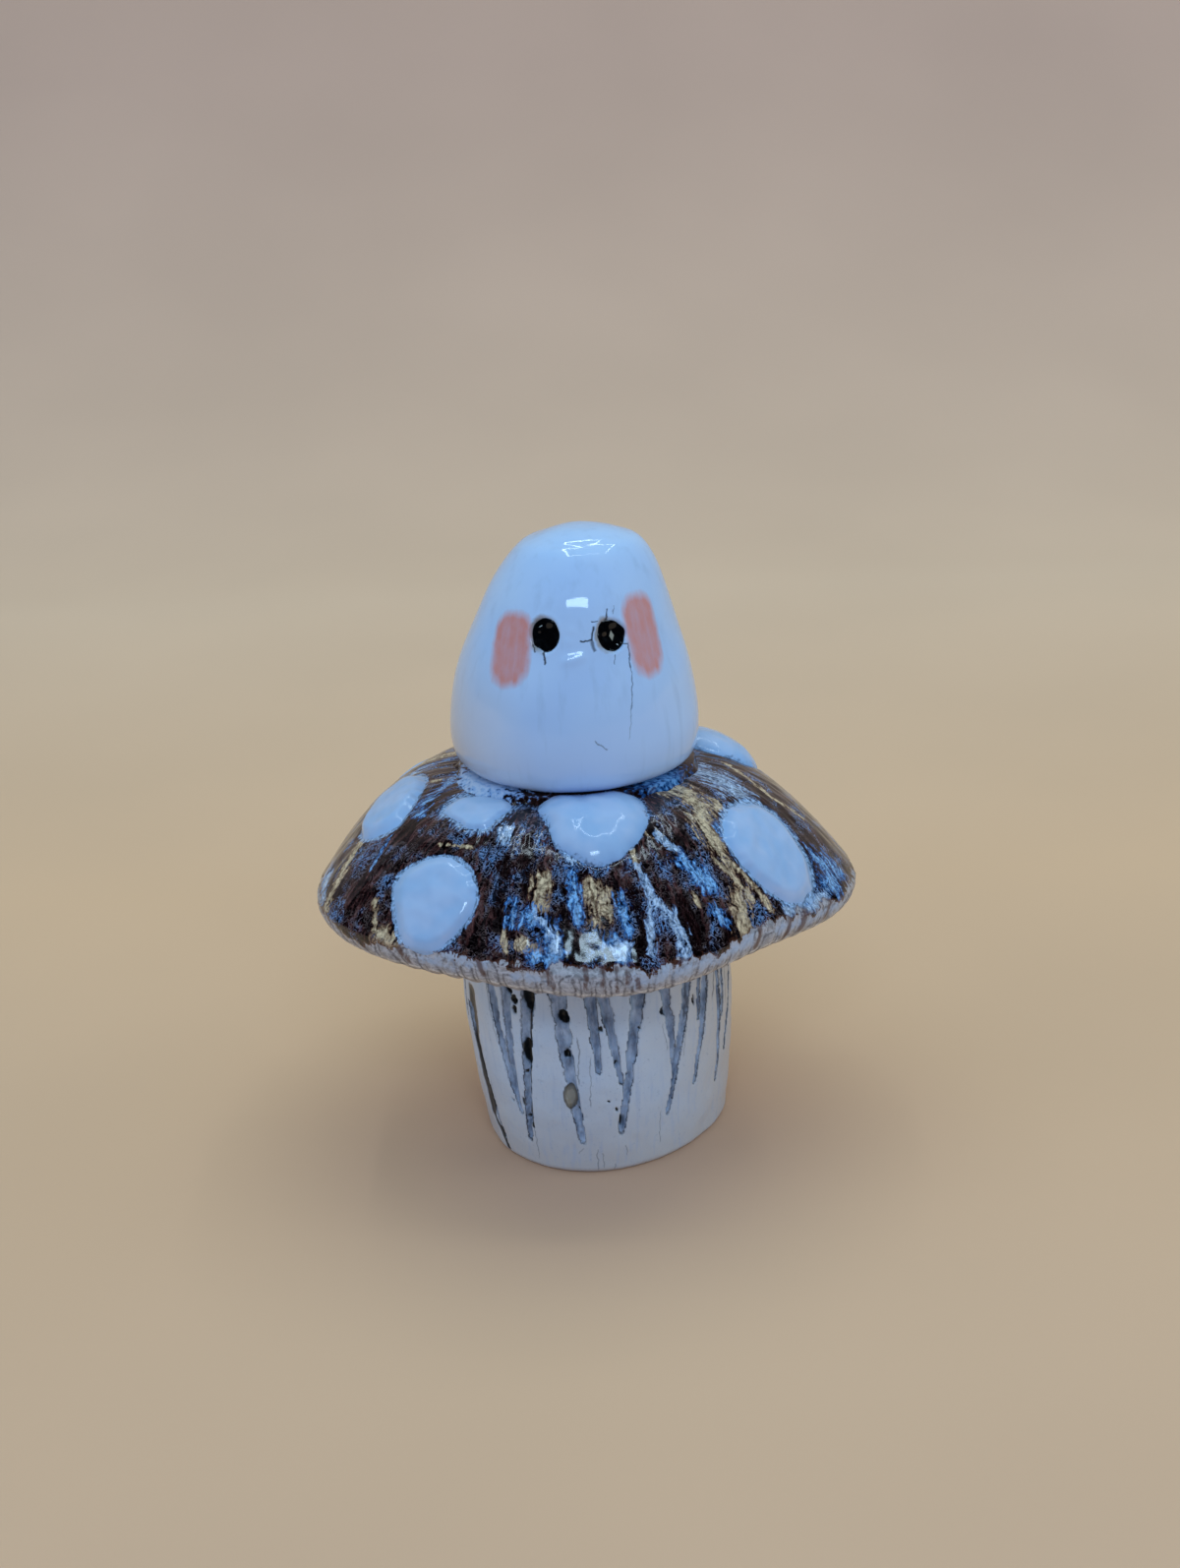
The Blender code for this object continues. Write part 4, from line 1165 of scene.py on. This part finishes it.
# Eyes: bearing and height share of the middle, then knots (right, up) in mm of the torn hole
EYES = {
    "eye_left": (-107, 0.655, (
        (1.5, -0.4), (1.4, 0.5), (0.75, 1.5), (-0.5, 1.8), (-1.3, 1.2), (-1.5, 0.3), (-1.3, -1),
        (-0.65, -1.55), (0.3, -1.85), (1.1, -1.3))),
    "eye_right": (-68.5, 0.64, (
        (1.6, 0.4), (1.15, 1.1), (0.45, 1.55), (-0.6, 1.75), (-1.15, 1.4), (-1.5, 0.6), (-1.55, -0.3),
        (-1.05, -1.3), (-0.1, -1.7), (0.8, -1.4), (1.35, -0.6))),
}
FINITE_STEP = 0.2 * MM


def ghost_axis(height):
    """How far the ghost's middle lies from the foot's middle, along X, at a height over its base."""
    share = height / GHOST_HEIGHT
    return GHOST_SHIFT + GHOST_LEAN * share + GHOST_BOW * 4 * share * (1 - share)


def ghost_radius(height):
    """Radius of the plain egg at a height over its base."""
    return np.interp(height, GHOST_CURVE[::-1, 1], GHOST_CURVE[::-1, 0])


def ghost_spot(bearing, share):
    """A place on the ghost's side with its directions right, up and outward."""
    height = share * GHOST_HEIGHT
    place = at_polar(ghost_radius(height), bearing, GHOST_BASE + height)
    place[0] += ghost_axis(height)
    narrowing = ghost_radius(height - FINITE_STEP) - ghost_radius(height + FINITE_STEP)
    outward = at_polar(2 * FINITE_STEP, bearing, narrowing)
    outward /= np.linalg.norm(outward)
    right = np.cross((0, 0, 1), outward)
    right /= np.linalg.norm(right)
    return place, right, np.cross(outward, right), outward


def in_eye(name, places):
    """Share of the way from an eye's middle to its hole's edge, and distance right and outward."""
    bearing, share, knots = EYES[name]
    middle, *directions = ghost_spot(bearing, share)
    right, up, outward = np.array(directions) @ (places - middle).T
    distance, angle = polar(np.column_stack([right, up]))
    return distance / (outline_radius(knots, angle) * MM), right, outward


print("ghost base at %.1f mm" % (GHOST_BASE / MM))

# %% [markdown]
# ### Cheeks and cracks
#
# A cheek is one flat stroke of the brush, so its mask keeps the brush's own coordinates: across
# the stroke and along it, as shares of its half width and half length. The material then draws
# dry, mottled paint and faint bristle marks in them.

# %% The egg, its holes and its painted cheeks
# Cheeks: bearing and height share of the middle, length and width in mm, lean in degrees
CHEEKS = {"left": (-127, 0.588, 8.7, 5.4, 6), "right": (-48, 0.618, 9.7, 4.9, -2)}
# Presses of the hand: bearing, height share, spread in mm, push outward in mm. The last six are a
# low ridge pushed up between the eyes by the stick that pierced them, and two small lumps.
PRESSES = (
    (0, 0.9, 4.5, 0.45), (-60, 0.96, 4, 0.15), (180, 0.8, 6, -0.1), (-95, 0.553, 0.55, 0.1),
    (-92, 0.558, 0.55, 0.1), (-89, 0.563, 0.55, 0.1), (-86, 0.57, 0.5, 0.1), (-92, 0.668, 0.45, 0.06),
    (-93, 0.628, 0.4, 0.06),
)


def make_ghost_mesh():
    """Turns the egg, presses it and pierces the eyes."""
    outline = GHOST_CURVE.tolist() + [(0.5 * GHOST_RADIUS, 0), (0, 0)]
    mesh, leaned, _, _ = turned("glazed_ghost", outline, GHOST_STEPS)
    leaned[:, 0] += ghost_axis(leaned[:, 2])
    leaned[:, 2] += GHOST_BASE
    move_vertices(mesh, leaned)
    push = bumps(leaned, *GHOST_BUMPS)
    for bearing, share, spread, amount in PRESSES:
        gap = np.linalg.norm(leaned - ghost_spot(bearing, share)[0], axis=1) / (spread * MM)
        push = push + amount * MM * np.exp(-gap ** 2)
    pressed = leaned + vertex_values(mesh, "normal") * push[:, None]
    lips = 0
    for name, (bearing, share, _) in EYES.items():
        reach, right, outward = in_eye(name, leaned)
        near = np.abs(outward) < EYE_ROOM
        lip = LIP_HEIGHT * np.exp(-((reach - LIP_MIDDLE) / LIP_SPREAD) ** 2)
        out = near * (lip - EYE_DEPTH * smooth_step(*HOLE_WALL, reach))
        pressed = pressed + ghost_spot(bearing, share)[-1] * out[:, None]
        # The tint is strongest at the left lip of each hole
        leftward = np.clip(0.35 - right / (3 * MM), 0, 1)
        lips = np.maximum(lips, near * smooth_step(1.6, 1, reach) * (0.15 + leftward))
    move_vertices(mesh, pressed)
    paint(mesh, lip=lips)
    for side, (bearing, share, length, width, lean) in CHEEKS.items():
        middle, right, up, outward = ghost_spot(bearing, share)
        offset = (leaned - middle) / MM
        sine, cosine = math.sin(math.radians(lean)), math.cos(math.radians(lean))
        across = offset @ (right * cosine + up * sine) / (width / 2)
        along = offset @ (up * cosine - right * sine) / (length / 2)
        paint(mesh, **{"cheek_" + side: np.column_stack([across, along, offset @ outward > -6])})
    return mesh


ghost_mesh = make_ghost_mesh()
print("ghost mesh has %d vertices" % len(ghost_mesh.vertices))

# %% [markdown]
# ### White glaze over white clay
#
# The finish is a clear glossy glaze on white clay, with an index of 1.5 like window glass, so it
# mirrors the lamps in small sharp shapes. The firing left faint vertical streaks and hair cracks.
# A grey-brown tint lies round the eyes, and the low left side is painted greyer and warmer as
# warm bounce light from the paper. A crack is drawn by its distance from a line between two
# places on the clay, which needs no picture and no fine mesh.

# %% The ghost's finish
# Hair cracks: bearing and height share of each end, width in mm, darkness
CRACKS = (
    (-59.5, 0.6, -60, 0.505, 0.13, 0.75), (-60, 0.505, -63, 0.35, 0.11, 0.55),
    (-63, 0.35, -65, 0.232, 0.11, 0.3), (-81, 0.243, -76, 0.198, 0.13, 0.55),
    (-107, 0.6, -105, 0.548, 0.15, 0.9), (-113, 0.616, -111, 0.587, 0.13, 0.8),
    (-70, 0.74, -71.5, 0.7, 0.13, 0.9), (-81, 0.702, -77, 0.699, 0.13, 0.9),
    (-87, 0.63, -81, 0.632, 0.15, 0.95), (-79.5, 0.68, -81, 0.63, 0.18, 0.9),
    (-81, 0.63, -79, 0.585, 0.3, 0.7), (-64, 0.605, -60, 0.599, 0.14, 0.9),
    (-68, 0.567, -69, 0.529, 0.1, 0.6), (-67, 0.715, -66, 0.745, 0.09, 0.5),
)


def cheek_layer(add, side, tone):
    """One dry brush stroke of pink: a soft-cornered bar, mottled, with bristle marks at its ends."""
    brush = add("Attribute", out="Vector", attribute_name="cheek_" + side)
    across, along, facing = add("SeparateXYZ", brush, out=None)
    combed = add("Mapping", Vector=brush, Scale=(1, 0.14, 0))
    bristles = add("TexNoise", Vector=combed, Scale=5, Detail=4)
    mottle = add("TexNoise", Vector=brush, Scale=2.2, Detail=5)
    mottled = add("Math MULTIPLY", mottle, 0.60)
    tear = add("Math MULTIPLY_ADD", bristles, 0.30, mottled)
    edge = tear
    for share, power in ((across, 3), (along, 3.4)):
        size = add("Math ABSOLUTE", share)
        term = add("Math POWER", size, power)
        edge = add("Math ADD", term, edge)
    wear = add("MapRange", tear, 0.56, 0.36, 0.82)
    cover = add("Math MULTIPLY", facing, wear)
    return edge, 1.70, 0.90, cover, tone


def ghost_material():
    """Clear gloss on white clay, with brushed cheeks, faint streaks, a grey-brown tint round the eyes,
    painted warm bounce light at the low left, and hair cracks.
    """
    material, add = new_material("glossy_white_glaze")
    place = add("TexCoord", out="Object")
    wobbly, _ = shaken(add, place, 0.9 * MM, 0.7 * MM)
    shiver = add("TexNoise", Vector=place, Scale=1 / (0.9 * MM), Detail=2)
    clouds = add("TexNoise", Vector=place, Scale=1 / (6 * MM), Detail=2)
    stretched = add("Mapping", Vector=place, Scale=(1, 1, 0.13))
    combed = add("TexNoise", Vector=stretched, Scale=1 / (1.4 * MM), Detail=3)
    # Painted warm bounce light from the tan paper: the low left side is tinted greyer and warmer
    warm_bounce_side = add("VectorMath DISTANCE", place, (-18 * MM, -6 * MM, 51 * MM), out=1)
    # A grey-brown tint lies a little into the white round each eye
    lip = add("Attribute", out="Fac", attribute_name="lip")
    lip_tint = add("Math MULTIPLY", lip, shiver)
    # The third layer is painted warm bounce light on the low left side
    base = layered(add, "A9C2EC", [
        (clouds, 0, 1, 1, "B9CDEE"), (combed, 0.55, 0.75, 0.25, "92A6C8"),
        (warm_bounce_side, 15 * MM, 3 * MM, 0.75, "C3BBC0"), (lip_tint, 0.15, 0.45, 0.8, "8C8078"),
        cheek_layer(add, "left", "CA8886"), cheek_layer(add, "right", "CE8E8C"),
        *line_layers(add, wobbly, CRACKS, ghost_spot, "2A2A33")])
    end_material(add, base, 0.05, (combed, 0.02, 0.25 * MM))
    return material


finish_piece("glazed_ghost", ghost_mesh, ghost_material(), "ghost_body")

# %% [markdown]
# ### Pools of black glaze
#
# Each eye is a drop of black glaze that melted into its hole. It is a turned lens stretched to
# the hole's torn outline, dished in the middle and wrinkled, so it catches small broken lights.

# %% The eyes
EYE_STEPS, EYE_RINGS = 72, 14
# Wrinkles in the glaze: height, size in mm and seed
WRINKLES = (0.12, 1.2, 9)
# Half width in mm of a pale lozenge of painted reflection on each eye's glaze, and its height to its width
EYE_GLINTS = {"eye_left": 0.01, "eye_right": 0.28}
GLINT_TALLNESS = 2.2


def make_eye_mesh(name):
    """A dished lens of glaze that fills its hole."""
    dish = [(share * 1.04, 0.35 * share ** 2) for share in np.linspace(0, 1, EYE_RINGS + 1)]
    mesh, plain, share, angle = turned(name, dish + [(0.9, -1), (0, -1)], EYE_STEPS)
    bearing, height_share, knots = EYES[name]
    middle, *directions = ghost_spot(bearing, height_share)
    reach = outline_radius(knots, angle) * share
    flat = at_polar(reach, angle, 0)
    depth = plain[:, 2] * 0.5 - 0.15 + bumps(flat, WRINKLES)
    flat[:, 2] = np.where(plain[:, 2] >= 0, depth - EYE_GLAZE_DEPTH / MM, -1.15 * EYE_DEPTH / MM)
    move_vertices(mesh, middle + flat * MM @ np.array(directions))
    # The gap layer holds a painted reflection of a lamp: a pale lozenge
    lozenge = np.abs(flat[:, 0] - 0.1) + np.abs(flat[:, 1]) / GLINT_TALLNESS
    paint(mesh, gap=np.clip(1.5 - lozenge / EYE_GLINTS[name], 0, 1))
    return mesh


def eye_material():
    """Black glaze, glassy, with a faint grey where it is thin and a pale lozenge of painted reflection."""
    material, add = new_material("black_gloss_glaze")
    place = add("TexCoord", out="Object")
    clouds = add("TexNoise", Vector=place, Scale=1 / (0.6 * MM), Detail=3)
    # gap marks the painted reflection in the glaze
    gap = add("Attribute", out="Fac", attribute_name="gap")
    base = layered(add, "050507", [(clouds, 0.5, 0.8, 0.5, "181B1E"), (gap, 0.4, 0.7, 0.9, "A29C90")])
    end_material(add, base, 0.07, (clouds, 0.05, 0.1 * MM), ior=1.52)
    return material


black_glaze = eye_material()
for eye_name in EYES:
    finish_piece(eye_name + "_glaze", make_eye_mesh(eye_name), black_glaze, eye_name)

# %% [markdown]
# ## The slip
#
# Slip is clay thinned to a cream. It joined the stem to the cap, where it can't be seen, and the
# ghost to the crown, where some was squeezed out as a pale ledge at the front left. The ledge is
# a turned disc. Its foot follows the dome, it rises up the ghost's side, and its middle is hidden.

# %% The squeezed ledge
LEDGE_RINGS, LEDGE_STEPS = 18, 360
# Width of the ledge in mm, and where slip was squeezed out: bearing, spread in degrees, extra mm
LEDGE_WIDTH = 0.45
LEDGE_WIDTHS = ((-150, 26, 1.5), (-122, 10, 0.6), (-40, 20, 0.6), (150, 40, 0.4))
LEDGE_RISE, LEDGE_SINK = 1 * MM, 0.35 * MM
# Waves in the lip: height, size and seed, in mm on a ring of this radius
LIP_RING, LIP_WAVES = 14, ((0.26, 1.9, 10), (0.07, 0.6, 12))
# Share of the ring that lies under the ghost, and the radius at which the slip comes out
FOOT_SHARE = 0.6
FOOT_RADIUS = ghost_radius(0.8 * MM)


def bell(bearing, middle, spread):
    """1 at a middle bearing, fading over a spread in degrees."""
    return np.exp(-(turn_between(bearing, middle) / spread) ** 2)


def make_ledge_mesh():
    """A fillet between the ghost's foot and the dome, wider where slip was squeezed out."""
    slope = [(1 - (1 - FOOT_SHARE) * height, height) for height in np.linspace(1, 0, LEDGE_RINGS + 1)]
    outline = [(0, 0.5), (0.3, 0.5)] + slope + [(0.95, -0.3), (0, -0.3)]
    mesh, plain, share, bearing = turned("squeezed_slip", outline, LEDGE_STEPS)
    fringe = bumps(at_polar(LIP_RING, bearing, 0), *LIP_WAVES)
    width = LEDGE_WIDTH + sum(extra * bell(bearing, middle, spread) for middle, spread, extra in LEDGE_WIDTHS)
    width = np.clip(width + fringe * (0.5 + width), 0.25, None) * MM
    outside = np.clip((share - FOOT_SHARE) / (1 - FOOT_SHARE), 0, 1)
    reach = np.where(share < FOOT_SHARE, share / FOOT_SHARE * FOOT_RADIUS, FOOT_RADIUS + outside * width)
    top = np.where(share < FOOT_SHARE, LEDGE_RISE, LEDGE_RISE * (1 - outside) ** 1.6 - 0.05 * MM)
    spot = at_polar(reach, bearing, 0)
    spot[:, 0] += GHOST_SHIFT - CAP_SHIFT
    radius, map_bearing = polar(spot)
    run = np.interp(radius, CAP_OUTLINE[:DOME_RINGS, 0], CAP_RUNS[:DOME_RINGS])
    move_vertices(mesh, map_surface(on_map(run, map_bearing), np.where(plain[:, 2] < 0, -LEDGE_SINK, top)))
    paint(mesh, white=bell(bearing, -146, 27) * (0.95 - 0.45 * outside),
          blue=bell(bearing, -42, 26) * (0.85 - 0.25 * outside))
    return mesh


def slip_material():
    """Fired slip that the glazes ran over: white at the left, blue at the right and brown elsewhere."""
    material, add = new_material("glazed_white_slip")
    clouds = add("TexNoise", Vector=add("TexCoord", out="Object"), Scale=1 / (0.6 * MM), Detail=5)
    brown = add("ValToRGB", clouds, stops={0.4: "120607", 0.62: "3C2422"})
    tear = add("Math MULTIPLY_ADD", clouds, 2.2, -1.1)
    layers = []
    for name, stops in (("blue", {0.35: "0A1026", 0.62: "1C4478", 1.05: "6496CC"}),
                        ("white", {0.35: "5C80B8", 0.6: "93AED8", 0.95: "B4C4E2"})):
        torn = add("Math ADD", add("Attribute", out="Fac", attribute_name=name), tear)
        layers.append((torn, 0.30, 0.48, 1, add("ValToRGB", torn, stops=stops)))
    end_material(add, layered(add, brown, layers), 0.14, (clouds, 0.4, 0.12 * MM))
    return material


slip_finish = slip_material()
finish_piece("squeezed_slip", make_ledge_mesh(), slip_finish, "ghost_slip_joint")
hidden_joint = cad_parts["stem_slip_joint"]
hidden_joint.data.materials.clear()
hidden_joint.data.materials.append(slip_finish)
